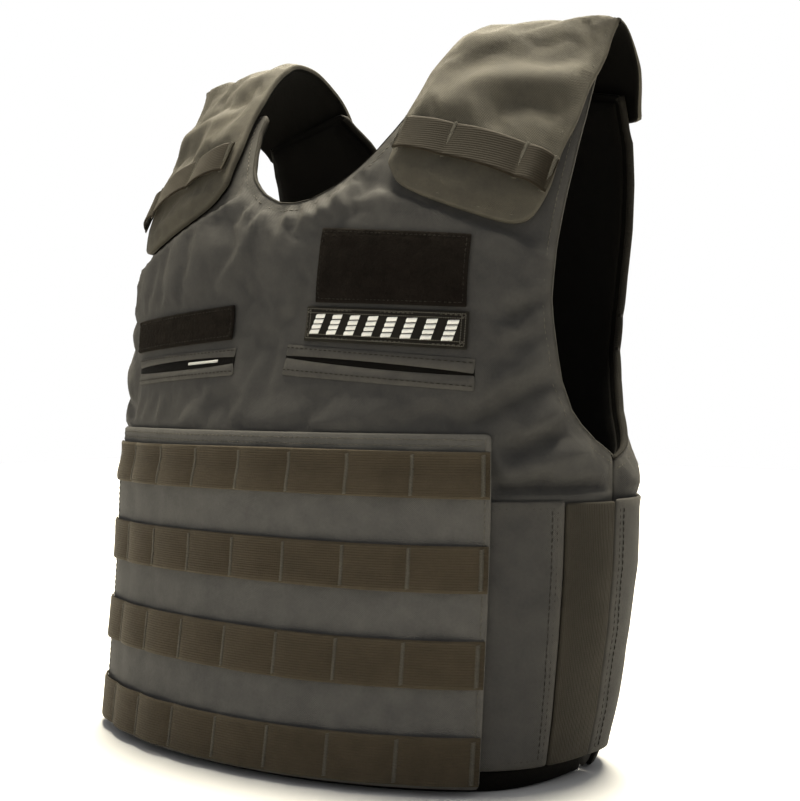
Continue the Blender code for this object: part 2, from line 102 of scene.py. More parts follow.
# Cloth simulation: spare cloth, pressure, cap on the movement
PANEL_SETTLE = (0.018, 1.5, 0.0035)
STRAP_SETTLE = (0.014, 0.5, 0.0022)

# Load-bearing webbing of the flap
WEBBING_WIDTH = 0.0254
WEBBING_CELL = 0.038
WEBBING_CELLS = 8
ROW_TOPS = (0.1820, 0.1315, 0.0807, 0.0300)
CELL_STOPS = np.array((0.0, 0.05, 0.10, 0.17, 0.26, 0.38, 0.50, 0.62, 0.74, 0.83, 0.90, 0.95))
TACK_LIFT = 0.0024
TACK_RADIUS = 0.00034

# Flap: hem allowance past the webbing, half width, lower and upper edge
FLAP_HEM = 0.004
FLAP_HALF = 0.5 * WEBBING_CELL * WEBBING_CELLS + FLAP_HEM
FLAP_LOW = 0.003
FLAP_HIGH = 0.191

# Plan sections: half depth, exponent
SECTIONS = {
    "front_low": (0.107, 2.05),
    "front_high": (0.084, 2.50),
    "back_low": (0.097, 2.00),
    "back_high": (0.104, 2.80),
}

# Depth and width of the lower vest: height, front depth, back depth, side width
LOWER_FORM = np.array((
    (0.000, 1.190, 0.700, 0.885),
    (0.038, 1.135, 0.770, 0.935),
    (0.083, 1.075, 0.880, 0.972),
    (0.116, 1.036, 0.945, 0.990),
    (0.158, 1.008, 1.000, 1.000),
    (0.250, 1.000, 1.000, 1.000),
))

# Right half of each panel outline: along the cloth from the centre, up the cloth
FRONT_NECK = (
    (0.000, 0.3300), (0.013, 0.3315), (0.022, 0.3350), (0.0305, 0.3390), (0.0385, 0.3445),
    (0.046, 0.3510), (0.053, 0.3600), (0.060, 0.3745), (0.0665, 0.3900), (0.070, 0.4080),
)
FRONT_ARM = (
    (0.181, 0.4080), (0.1848, 0.3740), (0.1872, 0.3400), (0.1878, 0.3100), (0.1878, 0.2650),
    (0.1895, 0.2520), (0.1925, 0.2360), (0.1962, 0.2200), (0.2033, 0.2040), (0.2102, 0.1960),
    (0.2207, 0.1875), (0.2370, 0.1790),
)
BACK_NECK = (
    (0.000, 0.3560), (0.025, 0.3580), (0.042, 0.3660), (0.053, 0.3800),
    (0.060, 0.3960), (0.068, 0.4090), (0.0735, 0.4220),
)
BACK_ARM = (
    (0.158, 0.3960), (0.160, 0.3740), (0.159, 0.3400), (0.155, 0.3120), (0.148, 0.2850),
    (0.143, 0.2600), (0.148, 0.2380), (0.162, 0.2200), (0.180, 0.2020), (0.208, 0.1860), (0.2400, 0.1770),
)
OUTLINES = {"front": (FRONT_NECK, FRONT_ARM), "back": (BACK_NECK, BACK_ARM)}
TAB_STEP = {"front": (0.3275, 0.36), "back": (0.365, 0.00)}
TAB_STEP_RUN = 0.008

# Folds: from s, v to s, v, width, height
FOLDS = {
    "front": (
        (0.1683, 0.2716, 0.1847, 0.2841, 0.0048, -0.0030),
        (0.1644, 0.2650, 0.1838, 0.2780, 0.0048, 0.0026),
        (0.1620, 0.2530, 0.1850, 0.2690, 0.0050, -0.0052),
        (0.1560, 0.2435, 0.1838, 0.2600, 0.0050, 0.0036),
        (0.1560, 0.2330, 0.1880, 0.2500, 0.0045, -0.0026),
        (0.1438, 0.2080, 0.1927, 0.2400, 0.0052, 0.0048),
        (0.1372, 0.1965, 0.1956, 0.2240, 0.0056, -0.0066),
        (0.1660, 0.1900, 0.2014, 0.2070, 0.0052, 0.0048),
        (0.1600, 0.1810, 0.1980, 0.1945, 0.0050, -0.0058),
        (0.1620, 0.1710, 0.2180, 0.1850, 0.0056, 0.0054),
        (0.1540, 0.1625, 0.2300, 0.1625, 0.0042, -0.0090),
        (-0.0300, 0.3350, -0.0360, 0.3200, 0.0034, 0.0030),
        (-0.0200, 0.3280, -0.0250, 0.3120, 0.0034, 0.0032),
        (-0.0019, 0.3260, 0.0060, 0.3150, 0.0032, 0.0034),
        (0.0102, 0.3270, 0.0260, 0.3130, 0.0036, 0.0040),
        (0.0220, 0.3300, 0.0360, 0.3150, 0.0036, 0.0034),
        (0.0340, 0.3360, 0.0500, 0.3180, 0.0040, 0.0036),
        (0.0460, 0.3450, 0.0640, 0.3300, 0.0050, -0.0022),
        (-0.0251, 0.3027, -0.0536, 0.2764, 0.0050, 0.0018),
        (0.0500, 0.1960, 0.1150, 0.2080, 0.0070, 0.0026),
        (0.0750, 0.2000, 0.1400, 0.2010, 0.0060, -0.0024),
    ),
    "back": (
        (0.060, 0.1800, 0.190, 0.1950, 0.0160, -0.0030),
        (0.150, 0.2300, 0.190, 0.2500, 0.0120, -0.0036),
        (0.155, 0.2700, 0.182, 0.2800, 0.0090, -0.0024),
        (0.150, 0.2080, 0.200, 0.2100, 0.0090, 0.0024),
        (0.010, 0.3500, 0.016, 0.3260, 0.0060, -0.0018),
        (0.030, 0.3530, 0.040, 0.3290, 0.0060, -0.0018),
        (0.100, 0.0500, 0.180, 0.0800, 0.0140, -0.0026),
        (0.020, 0.1350, 0.150, 0.1250, 0.0140, -0.0020),
        (0.030, 0.2450, 0.120, 0.2550, 0.0180, 0.0016),
    ),
}

# Folds of a strap: share of width and cloth length from the crest, at both ends; width, height
STRAP_FOLDS = (
    (0.10, -0.070, 0.95, -0.044, 0.015, -0.0038),
    (0.25, -0.082, 0.98, -0.066, 0.009, 0.0030),
    (0.05, -0.092, 0.55, -0.100, 0.010, 0.0016),
    (0.50, -0.100, 0.95, -0.088, 0.008, -0.0028),
    (0.05, -0.038, 0.40, -0.048, 0.009, 0.0014),
    (0.05, 0.030, 0.60, 0.048, 0.012, -0.0018),
    (0.50, 0.070, 0.95, 0.056, 0.010, -0.0016),
)
# End of the strap on the front tab: share of the strap's width, height up the cloth
STRAP_END = (
    (0.00, 0.3480), (0.035, 0.3440), (0.10, 0.3350), (0.29, 0.3262), (0.51, 0.3182),
    (0.70, 0.3115), (0.82, 0.3076), (0.90, 0.3066), (0.965, 0.3095), (1.00, 0.3180),
)
STRAP_BACK_V = 0.3780
# How far the rear end of the right strap, and the back under it, are drawn in
RIGHT_PINCH = 0.013
# Sides of the strap: cloth length from the crest (front negative), inner x, outer x
STRAP_SIDES = np.array((
    (-0.150, 0.0665, 0.1600), (-0.130, 0.0665, 0.1630), (-0.110, 0.0670, 0.1650), (-0.090, 0.0690, 0.1665),
    (-0.060, 0.0715, 0.1688), (-0.030, 0.0745, 0.1712), (0.000, 0.0770, 0.1726), (0.030, 0.0772, 0.1712),
    (0.060, 0.0765, 0.1645), (0.100, 0.0755, 0.1585),
))
STRAP_WEB_LOW = -0.1275
STRAP_WEB_SLANT = -0.0105
STRAP_WEB_WIDTH = 0.0215
STRAP_TACKS = (0.05, 0.39, 0.833, 0.985)
# Least lift of the strap's skin over its underside, and how far the crest is drawn down
STRAP_LEAST = 0.0036
STRAP_CREST_DROP = 0.0020
STRAP_EDGE_LOFT = 0.0020

# Cummerbund pieces: name, from s, to s, lower v, upper v
SIDE_PIECES = (
    ("side_panel_front", 0.1480, 0.1960, 0.0120, 0.1550),
    ("side_elastic", 0.1965, 0.2290, 0.0120, 0.1540),
    ("side_panel_back", 0.2295, 0.3300, 0.0120, 0.1550),
)

# Patches of the chest: s, v of the four corners, from the lower inner one
PATCHES = {
    "chest_loop_panel": ((0.0355, 0.2655), (0.1385, 0.2600), (0.1370, 0.3005), (0.0345, 0.3095)),
    "name_strip": ((0.0305, 0.2430), (0.1400, 0.2366), (0.1405, 0.2575), (0.0295, 0.2635)),
    "chest_loop_strip": ((-0.1425, 0.2388), (-0.0310, 0.2450), (-0.0335, 0.2664), (-0.1445, 0.2595)),
    "pocket_welt_upper_left": ((0.0185, 0.2346), (0.1448, 0.2236), (0.1452, 0.2318), (0.0180, 0.2414)),
    "pocket_welt_lower_left": ((0.0190, 0.2236), (0.1455, 0.2142), (0.1452, 0.2226), (0.0190, 0.2336)),
    "pocket_welt_upper_right": ((-0.1365, 0.2286), (-0.0255, 0.2345), (-0.0262, 0.2402), (-0.1388, 0.2350)),
    "pocket_welt_lower_right": ((-0.1345, 0.2182), (-0.0225, 0.2238), (-0.0250, 0.2308), (-0.1360, 0.2254)),
}


# The body surface

def ease(t):
    t = np.clip(t, 0.0, 1.0)
    return t * t * (3.0 - 2.0 * t)


def swell(t):
    return np.sin(0.5 * np.pi * np.clip(t, 0.0, 1.0))


def unit(vectors):
    return vectors / np.maximum(np.linalg.norm(vectors, axis=-1, keepdims=True), 1e-9)


def mirrored(flat):
    return flat * np.array([-1.0, 1.0])


def section_table(depth, power, count=500):
    angle = np.linspace(0.0, 0.5 * np.pi, count)
    x = HALF_WIDTH * np.sin(angle) ** (2.0 / power)
    y = depth * np.abs(np.cos(angle)) ** (2.0 / power)
    run = np.concatenate([[0.0], np.cumsum(np.hypot(np.diff(x), np.diff(y)))])
    return run * QUARTER_GIRTH / run[-1], x, y


TABLES = {name: section_table(*row) for name, row in SECTIONS.items()}
NODES_X, NODES_W = np.polynomial.legendre.leggauss(10)


def plan(s, v):
    """Plan position of the cloth: s runs round from the front centre, v up the cloth."""
    around = np.abs(s)
    from_back = 2.0 * QUARTER_GIRTH - around
    high = ease((v - 0.180) / 0.090)

    def mix(low_name, high_name, run, column):
        low = np.interp(run, TABLES[low_name][0], TABLES[low_name][column])
        top = np.interp(run, TABLES[high_name][0], TABLES[high_name][column])
        return (1.0 - high) * low + high * top

    front = around <= QUARTER_GIRTH
    x = np.where(front, mix("front_low", "front_high", around, 1), mix("back_low", "back_high", from_back, 1))
    y_front = -mix("front_low", "front_high", around, 2) * np.interp(v, LOWER_FORM[:, 0], LOWER_FORM[:, 1])
    y_back = mix("back_low", "back_high", from_back, 2) * np.interp(v, LOWER_FORM[:, 0], LOWER_FORM[:, 2])
    narrow = (1.0 - np.interp(v, LOWER_FORM[:, 0], LOWER_FORM[:, 3])) * ease((around - 0.150) / 0.090)
    return np.sign(s) * x * (1.0 - narrow), np.where(front, y_front, y_back)


def arc_length(angle, depth, height):
    share = 0.5 * (NODES_X + 1.0)
    part = angle[..., None] * share
    pace = np.sqrt((depth[..., None] * np.sin(part)) ** 2 + (height[..., None] * np.cos(part)) ** 2)
    return angle * (pace * 0.5 * NODES_W).sum(axis=-1)


def arch_angle(run, depth, height):
    angle = np.clip(2.0 * run / (depth + height), 0.0, 1.5)
    for _ in range(8):
        pace = np.sqrt((depth * np.sin(angle)) ** 2 + (height * np.cos(angle)) ** 2)
        angle = angle - (arc_length(angle, depth, height) - run) / np.maximum(pace, 1e-4)
    return angle


def arch(x, reach, run):
    """Shoulder arch above the chest line: a quarter ellipse from the panel to the crest."""
    height = CREST_Z - CREST_SLOPE * np.abs(x) - CHEST_Z
    angle = arch_angle(run, np.abs(reach) + 1e-4, height)
    rise = np.sin(angle)
    amount = np.where(reach < 0.0, FRONT_LEAN + FRONT_LEAN_RISE * np.abs(x), BACK_LEAN)
    lean = amount * np.sin(2.0 * angle) * rise
    y = CREST_Y + reach * np.cos(angle) + lean + CENTRE_SHIFT_Y
    return np.stack([x, y, CHEST_Z + height * rise], axis=-1)


def body_point(s, v):
    s, v = np.broadcast_arrays(np.asarray(s, float), np.asarray(v, float))
    x, y = plan(s, v)
    point = arch(x, y - CREST_Y, np.maximum(v - CHEST_Z, 0.0))
    point[..., 2] = np.where(v <= CHEST_Z, v, point[..., 2])
    return point


def back_point(r, v):
    """The same surface, with r measured from the back centre."""
    r, v = np.broadcast_arrays(np.asarray(r, float), np.asarray(v, float))
    r = r - RIGHT_PINCH * np.clip(r / 0.155, 0.0, 1.1) ** 4 * ease((v - 0.300) / 0.055)
    s = np.where(r < 0.0, 2.0 * QUARTER_GIRTH + r, r - 2.0 * QUARTER_GIRTH)
    return body_point(s, v)


def strap_point(x, d):
    """Over the shoulder at a fixed x: d is the cloth length from the crest, front negative."""
    x, d = np.broadcast_arrays(np.asarray(x, float), np.asarray(d, float))
    front = -np.interp(x, TABLES["front_high"][1], TABLES["front_high"][2])
    back = np.interp(x, TABLES["back_high"][1], TABLES["back_high"][2])
    reach = np.where(d < 0.0, front, back) - CREST_Y
    height = CREST_Z - CREST_SLOPE * np.abs(x) - CHEST_Z
    whole = arc_length(np.full(x.shape, 0.5 * np.pi), np.abs(reach), height)
    return arch(x, reach, whole - np.abs(d))


def strap_reach(x, v, side):
    """Cloth length from the crest to the height v up the front (-1) or back (1)."""
    x = np.asarray(x, float)
    name = "front_high" if side < 0 else "back_high"
    reach = np.interp(x, TABLES[name][1], TABLES[name][2]) - side * CREST_Y
    height = CREST_Z - CREST_SLOPE * x - CHEST_Z
    whole = arc_length(np.full(x.shape, 0.5 * np.pi), reach, height)
    return side * (whole - (v - CHEST_Z))


def lifted(surface, a, b, lift):
    """Point of a surface, moved out along its normal."""
    step = 5e-4
    along = surface(a + step, b) - surface(a - step, b)
    up = surface(a, b + step) - surface(a, b - step)
    return surface(a, b) + unit(np.cross(along, up)) * np.asarray(lift)[..., None]


def strap_right(a, b):
    a, b = np.broadcast_arrays(np.asarray(a, float), np.asarray(b, float))
    x = -a - RIGHT_PINCH * np.clip((-a - 0.077) / 0.082, 0.0, 1.1) * ease((b - 0.015) / 0.060)
    return strap_point(x, b) * np.array([-1.0, 1.0, 1.0])


# Outlines and flat sheets

def edge_frame(points, loop, closed=True):
    """Distance of each point to a path, and how far along the path it lies."""
    start = loop if closed else loop[:-1]
    end = np.roll(loop, -1, axis=0) if closed else loop[1:]
    best = np.full(len(points), 1.0)
    along = np.zeros(len(points))
    run = 0.0
    for a, b in zip(start, end):
        line = b - a
        length = math.hypot(*line)
        share = np.clip(((points - a) @ line) / max(length * length, 1e-12), 0.0, 1.0)
        away = np.linalg.norm(points - a - share[:, None] * line, axis=1)
        nearer = away < best
        best = np.where(nearer, away, best)
        along = np.where(nearer, run + share * length, along)
        run += length
    return best, along


def densify(corners, pitch, closed=True):
    corners = np.asarray(corners, float)
    ends = np.roll(corners, -1, axis=0) if closed else corners[1:]
    rows = []
    for a, b in zip(corners, ends):
        count = max(1, int(np.ceil(np.linalg.norm(b - a) / pitch - 1e-6)))
        rows.extend(a + (b - a) * i / count for i in range(count))
    if not closed:
        rows.append(corners[-1])
    return np.array(rows)


def rounded(corners, reach, steps=3):
    """A smoother path: each corner is cut by a short curve."""
    corners = np.asarray(corners, float)
    rows = []
    for a, b, c in zip(np.roll(corners, 1, axis=0), corners, np.roll(corners, -1, axis=0)):
        before = min(reach, 0.45 * math.hypot(*(a - b)))
        after = min(reach, 0.45 * math.hypot(*(c - b)))
        p = b + (a - b) / math.hypot(*(a - b)) * before
        q = b + (c - b) / math.hypot(*(c - b)) * after
        for t in np.linspace(0.0, 1.0, steps + 1):
            rows.append((1 - t) ** 2 * p + 2 * t * (1 - t) * b + t * t * q)
    return np.array(rows)


def outward_of(loop):
    along = unit(np.roll(loop, -1, axis=0) - np.roll(loop, 1, axis=0))
    return np.stack([along[:, 1], -along[:, 0]], axis=1)


def path_side(path):
    """The same for an open path: the side that lies to its right."""
    along = unit(np.gradient(path, axis=0))
    return np.stack([along[:, 1], -along[:, 0]], axis=1)


def inset(outline, corner, by):
    loop = rounded(outline, corner)
    return loop - outward_of(loop) * by


def inside(points, loop):
    ends = np.roll(loop, -1, axis=0)
    result = np.zeros(len(points), bool)
    for a, b in zip(loop, ends):
        cross = (a[1] > points[:, 1]) != (b[1] > points[:, 1])
        rise = b[1] - a[1] if abs(b[1] - a[1]) > 1e-12 else 1e-12
        at = a[0] + (points[:, 1] - a[1]) * (b[0] - a[0]) / rise
        result ^= cross & (points[:, 0] < at)
    return result


def triangulate(loop, pitch):
    low = np.floor(loop.min(axis=0) / pitch)
    high = np.ceil(loop.max(axis=0) / pitch)
    s, v = np.meshgrid(np.arange(low[0], high[0] + 1) * pitch, np.arange(low[1], high[1] + 1) * pitch)
    grid = np.stack([s.ravel(), v.ravel()], axis=1)
    grid = grid[inside(grid, loop)]
    grid = grid[edge_frame(grid, loop)[0] > 0.5 * pitch]
    points = [Vector((float(p[0]), float(p[1]))) for p in np.vstack([loop, grid])]
    edges = [(i, (i + 1) % len(loop)) for i in range(len(loop))]
    flat, _, faces, _, _, _ = delaunay_2d_cdt(points, edges, [], 1, 1e-7)
    flat = np.array([[p.x, p.y] for p in flat])
    faces = np.array([tuple(face) for face in faces])
    faces = faces[inside(flat[faces].mean(axis=1), loop)]
    a, b, c = flat[faces[:, 0]], flat[faces[:, 1]], flat[faces[:, 2]]
    turn = (b[:, 0] - a[:, 0]) * (c[:, 1] - a[:, 1]) - (b[:, 1] - a[:, 1]) * (c[:, 0] - a[:, 0])
    faces = np.where((turn > 0)[:, None], faces, faces[:, ::-1])
    return flat, faces


def new_piece(name, verts, faces, uvs, material, node=None, wear=None, second_from=None):
    mesh = bpy.data.meshes.new(name)
    mesh.from_pydata([tuple(p) for p in np.asarray(verts, float).tolist()], [], [tuple(f) for f in faces])
    layer = mesh.uv_layers.new(name="cloth")
    index = np.empty(len(mesh.loops), np.int32)
    mesh.loops.foreach_get("vertex_index", index)
    layer.data.foreach_set("uv", np.asarray(uvs, float)[index].ravel())
    edge = mesh.attributes.new("edge", "FLOAT", "POINT")
    edge.data.foreach_set("value", np.zeros(len(verts)) if wear is None else np.asarray(wear, float))
    mesh.polygons.foreach_set("use_smooth", [True] * len(mesh.polygons))
    for item in material if isinstance(material, (list, tuple)) else [material]:
        mesh.materials.append(item)
    if second_from is not None:
        mesh.polygons.foreach_set("material_index", (np.arange(len(faces)) >= second_from).astype(np.int32))
    mesh.update()
    piece = bpy.data.objects.new(name, mesh)
    bpy.context.scene.collection.objects.link(piece)
    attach(piece, "root")
    if node:
        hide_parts(node)
    return piece


def grain(points, scale, seed):
    """Smooth noise from -1 to 1 at each flat point."""
    values = [noise.noise(Vector((float(p[0]) * scale, float(p[1]) * scale, seed))) for p in points]
    return np.array(values)


def rim_profile(steps):
    """Angle and side of each ring of a rim: a quarter turn, a straight wall, a quarter turn."""
    turns = np.linspace(0.5 * math.pi, 0.0, steps + 1)[1:]
    return [(float(turn), 1.0) for turn in turns] + [(-float(turn), -1.0) for turn in turns[::-1]]


def rim_of(path, outward, top, under):
    """Middle height, half of the straight wall, corner radius and core path of a rounded rim."""
    half = 0.5 * (top - under)
    radius = np.minimum(0.9 * half, RIM_RADIUS)
    return 0.5 * (top + under), half - radius, radius, path - outward * radius[:, None]


def make_shell(name, outline, pitch, outer, inner, material, surface=body_point, node=None,
               rim_steps=3, corner=0.004, settle=None):
    """A closed cloth body with a rounded rim. outer and inner give the lift at each flat point."""
    loop = densify(rounded(outline, corner) if corner else np.asarray(outline, float), pitch)
    out_lift = outer(loop)
    in_lift = inner(loop)
    outward = outward_of(loop)
    middle, wall, radius, core = rim_of(loop, outward, out_lift, in_lift)
    flat, faces = triangulate(core, pitch)
    count = len(flat)
    edge = len(core)
    top_lift = outer(flat)
    bottom_lift = inner(flat)
    top_lift[:edge] = out_lift
    bottom_lift[:edge] = in_lift
    top = lifted(surface, flat[:, 0], flat[:, 1], top_lift)
    bottom = lifted(surface, flat[:, 0], flat[:, 1], bottom_lift)
    if settle:
        top = settle(top, faces, flat)
    verts = [top]
    uvs = [flat]
    all_faces = [tuple(f) for f in faces.tolist()]
    rings = [np.arange(edge)]
    total = count
    for number, (angle, side) in enumerate(rim_profile(rim_steps)):
        ring = core + outward * (radius * math.cos(angle))[:, None]
        height = middle + side * wall + radius * math.sin(angle)
        verts.append(lifted(surface, ring[:, 0], ring[:, 1], height))
        uvs.append(ring + outward * 0.001 * (number + 1))
        rings.append(np.arange(edge) + total)
        total += edge
    rings.append(np.arange(edge) + total)
    verts.append(bottom)
    uvs.append(flat)
    second_from = None
    for number, (upper, lower) in enumerate(zip(rings[:-1], rings[1:])):
        if number == rim_steps + 1:
            second_from = len(all_faces)
        for i in range(edge):
            j = (i + 1) % edge
            all_faces.append((int(upper[j]), int(upper[i]), int(lower[i]), int(lower[j])))
    all_faces += [tuple(i + total for i in reversed(f)) for f in faces.tolist()]
    verts = np.vstack(verts)
    uvs = np.vstack(uvs)
    wear = np.exp(-edge_frame(uvs, loop)[0] / 0.004)
    verts[:, 2] = np.maximum(verts[:, 2], FLOOR_GAP)
    if not isinstance(material, (list, tuple)):
        second_from = None
    piece = new_piece(name, verts, all_faces, uvs, material, node, wear, second_from)
    return piece, verts[:count], flat


# Cloth simulation of the padded skins

def settled(top, faces, pins, slack, pressure, cap, frames=18):
    """Lets a skin with a little spare cloth buckle between its pinned seams, then caps how far it went."""
    mesh = bpy.data.meshes.new("skin")
    mesh.from_pydata([tuple(p) for p in top.tolist()], [], [tuple(f) for f in faces.tolist()])
    skin = bpy.data.objects.new("skin", mesh)
    bpy.context.scene.collection.objects.link(skin)
    group = skin.vertex_groups.new(name="pins")
    for index, weight in enumerate(pins):
        if weight > 0.01:
            group.add([index], float(weight), "REPLACE")
    cloth = skin.modifiers.new("cloth", "CLOTH")
    settings = cloth.settings
    settings.quality = 6
    settings.mass = 0.25
    settings.tension_stiffness = 25
    settings.compression_stiffness = 25
    settings.shear_stiffness = 8
    settings.bending_stiffness = 1.2
    settings.tension_damping = 10
    settings.compression_damping = 10
    settings.shear_damping = 10
    settings.air_damping = 3
    settings.vertex_group_mass = "pins"
    settings.shrink_min = -slack
    settings.use_pressure = True
    settings.uniform_pressure_force = pressure
    settings.effector_weights.gravity = 0.0
    cloth.point_cache.frame_start = 1
    cloth.point_cache.frame_end = frames
    cloth.collision_settings.use_collision = False
    scene = bpy.context.scene
    for number in range(1, frames + 1):
        scene.frame_set(number)
    graph = bpy.context.evaluated_depsgraph_get()
    result = np.empty(len(top) * 3)
    skin.evaluated_get(graph).data.vertices.foreach_get("co", result)
    result = result.reshape(-1, 3)
    bpy.data.objects.remove(skin, do_unlink=True)
    scene.frame_set(1)
    shift = result - top
    length = np.linalg.norm(shift, axis=1, keepdims=True)
    limit = cap * np.tanh(length / cap) / np.maximum(length, 1e-9)
    return top + shift * limit


# Materials

def cloth_material(name, colour, second, pitch, weave, rough=0.78, sheen=0.05, tint=(0.62, 0.56, 0.42),
                   mottle=0.35, bump=0.35, dust=(0.12, 0.11, 0.09), worn_share=0.32, gloss=0.14):
    """Woven cloth in metres of UV: threads, slight colour drift, fuzz, and paler worn edges."""
    material = bpy.data.materials.new(name)
    material.use_nodes = True
    tree = material.node_tree
    shader = tree.nodes["Principled BSDF"]
    shader.inputs["Roughness"].default_value = rough
    shader.inputs["Specular IOR Level"].default_value = gloss
    shader.inputs["Specular Tint"].default_value = (1.0, 0.90, 0.70, 1.0)
    shader.inputs["Sheen Weight"].default_value = sheen
    shader.inputs["Sheen Roughness"].default_value = 0.45
    shader.inputs["Sheen Tint"].default_value = (*tint, 1.0)

    def math_node(kind, a, b=None):
        node = tree.nodes.new("ShaderNodeMath")
        node.operation = kind
        for slot_index, value in enumerate((a, b)):
            if value is None:
                continue
            if isinstance(value, (int, float)):
                node.inputs[slot_index].default_value = value
            else:
                tree.links.new(value, node.inputs[slot_index])
        return node.outputs[0]

    def times(a, b):
        return math_node("MULTIPLY", a, b)

    def plus(a, b):
        return math_node("ADD", a, b)

    def noise_node(scale, detail, vector):
        node = tree.nodes.new("ShaderNodeTexNoise")
        node.inputs["Scale"].default_value = scale
        node.inputs["Detail"].default_value = detail
        tree.links.new(vector, node.inputs["Vector"])
        return node.outputs["Fac"]

    uv = tree.nodes.new("ShaderNodeUVMap")
    uv.uv_map = "cloth"
    split = tree.nodes.new("ShaderNodeSeparateXYZ")
    tree.links.new(uv.outputs["UV"], split.inputs[0])
    place = tree.nodes.new("ShaderNodeTexCoord").outputs["Object"]
    turns = 2.0 * math.pi / pitch
    across = math_node("SINE", times(split.outputs[0], turns))
    up = math_node("SINE", times(split.outputs[1], turns))
    if weave == "plain":
        height = times(across, up)
    elif weave == "rib_level":
        height = plus(up, times(across, 0.25))
    elif weave == "rib_upright":
        height = plus(across, times(up, 0.25))
    else:
        height = times(noise_node(1.0 / pitch, 3.0, place), 2.0)
    fuzz = noise_node(900.0, 3.0, place)
    height = plus(times(height, 0.5), times(fuzz, 0.8))
    height = plus(height, times(noise_node(260.0, 3.0, place), 1.2))
    node = tree.nodes.new("ShaderNodeBump")
    node.inputs["Strength"].default_value = bump
    node.inputs["Distance"].default_value = 0.0006
    tree.links.new(height, node.inputs["Height"])
    tree.links.new(node.outputs[0], shader.inputs["Normal"])

    drift = noise_node(26.0, 4.0, place)
    speck = noise_node(620.0, 2.0, place)
    patchy = noise_node(95.0, 5.0, place)
    blend = plus(times(drift, mottle * 2.0), times(speck, 0.5))
    blend = plus(blend, times(patchy, 0.9))
    blend = math_node("SUBTRACT", blend, mottle + 0.70 - 0.5)
    clamp = tree.nodes.new("ShaderNodeClamp")
    tree.links.new(blend, clamp.inputs[0])
    ramp = tree.nodes.new("ShaderNodeMix")
    ramp.data_type = "RGBA"
    ramp.inputs[6].default_value = (*colour, 1.0)
    ramp.inputs[7].default_value = (*second, 1.0)
    tree.links.new(clamp.outputs[0], ramp.inputs[0])
    wear = tree.nodes.new("ShaderNodeAttribute")
    wear.attribute_name = "edge"
    worn = times(wear.outputs["Fac"], times(noise_node(140.0, 3.0, place), worn_share))
    final = tree.nodes.new("ShaderNodeMix")
    final.data_type = "RGBA"
    tree.links.new(worn, final.inputs[0])
    tree.links.new(ramp.outputs[2], final.inputs[6])
    final.inputs[7].default_value = (*dust, 1.0)
    tree.links.new(final.outputs[2], shader.inputs["Base Color"])
    return material


CANVAS = cloth_material("canvas", (0.0220, 0.0224, 0.0238), (0.045, 0.0442, 0.0428), 0.0011, "plain")
STRAP_CLOTH = cloth_material(
    "strap_cloth", (0.0260, 0.0247, 0.0215), (0.0560, 0.0510, 0.0395), 0.0011, "plain")
WEBBING = cloth_material(
    "webbing", (0.021, 0.0165, 0.0110), (0.040, 0.0315, 0.0215), 0.0014, "rib_level", bump=0.35,
    sheen=0.08, dust=(0.10, 0.085, 0.06))
STRAP_WEB = cloth_material(
    "strap_webbing", (0.0058, 0.0045, 0.0029), (0.0110, 0.0086, 0.0056), 0.0014, "rib_level",
    bump=0.15, sheen=0.04, dust=(0.05, 0.04, 0.03), gloss=0.10)
# The flap's cloth is the same canvas made about 1.7 times paler: painted light standing in for the light the
# flap catches.
FLAP_CLOTH_PAINTED_LIGHT = cloth_material(
    "flap_canvas_painted_light", (0.0390, 0.0390, 0.0396), (0.0760, 0.0745, 0.0710), 0.0011, "plain")
ELASTIC = cloth_material("elastic", (0.012, 0.0108, 0.0090), (0.021, 0.0188, 0.0155), 0.0011, "rib_upright",
                         bump=0.45, sheen=0.06, dust=(0.05, 0.045, 0.035))
LOOP = cloth_material(
    "loop_pile", (0.0012, 0.0009, 0.0008), (0.0100, 0.0080, 0.0068), 0.0008, "pile", rough=1.0,
    sheen=0.02, bump=1.0, dust=(0.012, 0.010, 0.009), gloss=0.05)
LINING = cloth_material(
    "lining", (0.0012, 0.0012, 0.0012), (0.0022, 0.0022, 0.0022), 0.0014, "plain", sheen=0.0,
    dust=(0.004, 0.004, 0.004), gloss=0.06)
TAPE = cloth_material("edge_tape", (0.006, 0.0056, 0.0050), (0.011, 0.0102, 0.0090), 0.0013, "rib_upright",
                      sheen=0.05, dust=(0.03, 0.028, 0.022), gloss=0.1)
EDGE_TAPE = cloth_material(
    "pale_edge_tape", (0.034, 0.0335, 0.0310), (0.052, 0.0505, 0.0450), 0.0013, "rib_upright")
LABEL = cloth_material("label_cloth", (0.0042, 0.0040, 0.0038), (0.0080, 0.0075, 0.0070), 0.0009, "plain",
                       sheen=0.05, dust=(0.02, 0.02, 0.018), gloss=0.1)
WHITE = cloth_material("white_thread", (0.62, 0.62, 0.60), (0.74, 0.74, 0.72), 0.0007, "rib_level", sheen=0.1,
                       dust=(0.7, 0.7, 0.68))
THREAD = cloth_material("dark_thread", (0.009, 0.0085, 0.0075), (0.015, 0.0140, 0.0125), 0.0006, "rib_level",
                        sheen=0.05, dust=(0.03, 0.03, 0.025))
PALE_THREAD = cloth_material(
    "pale_thread", (0.060, 0.0565, 0.0480), (0.085, 0.0800, 0.0670), 0.0006, "rib_level",
    sheen=0.05, dust=(0.12, 0.12, 0.10))
ZIP = cloth_material(
    "zip_teeth", (0.42, 0.42, 0.40), (0.6, 0.6, 0.58), 0.0012, "rib_upright", rough=0.45, sheen=0.0,
    dust=(0.7, 0.7, 0.68))


# Padded front and back panels


def panel_outline(panel):
    neck, arm = OUTLINES[panel]
    half = [(0.0, 0.0), (arm[-1][0], 0.0)] + list(reversed(arm)) + list(reversed(neck))
    return half + [(-s, v) for s, v in reversed(half) if s > 0.0]


PANEL_LOOPS = {panel: np.array(panel_outline(panel)) for panel in OUTLINES}


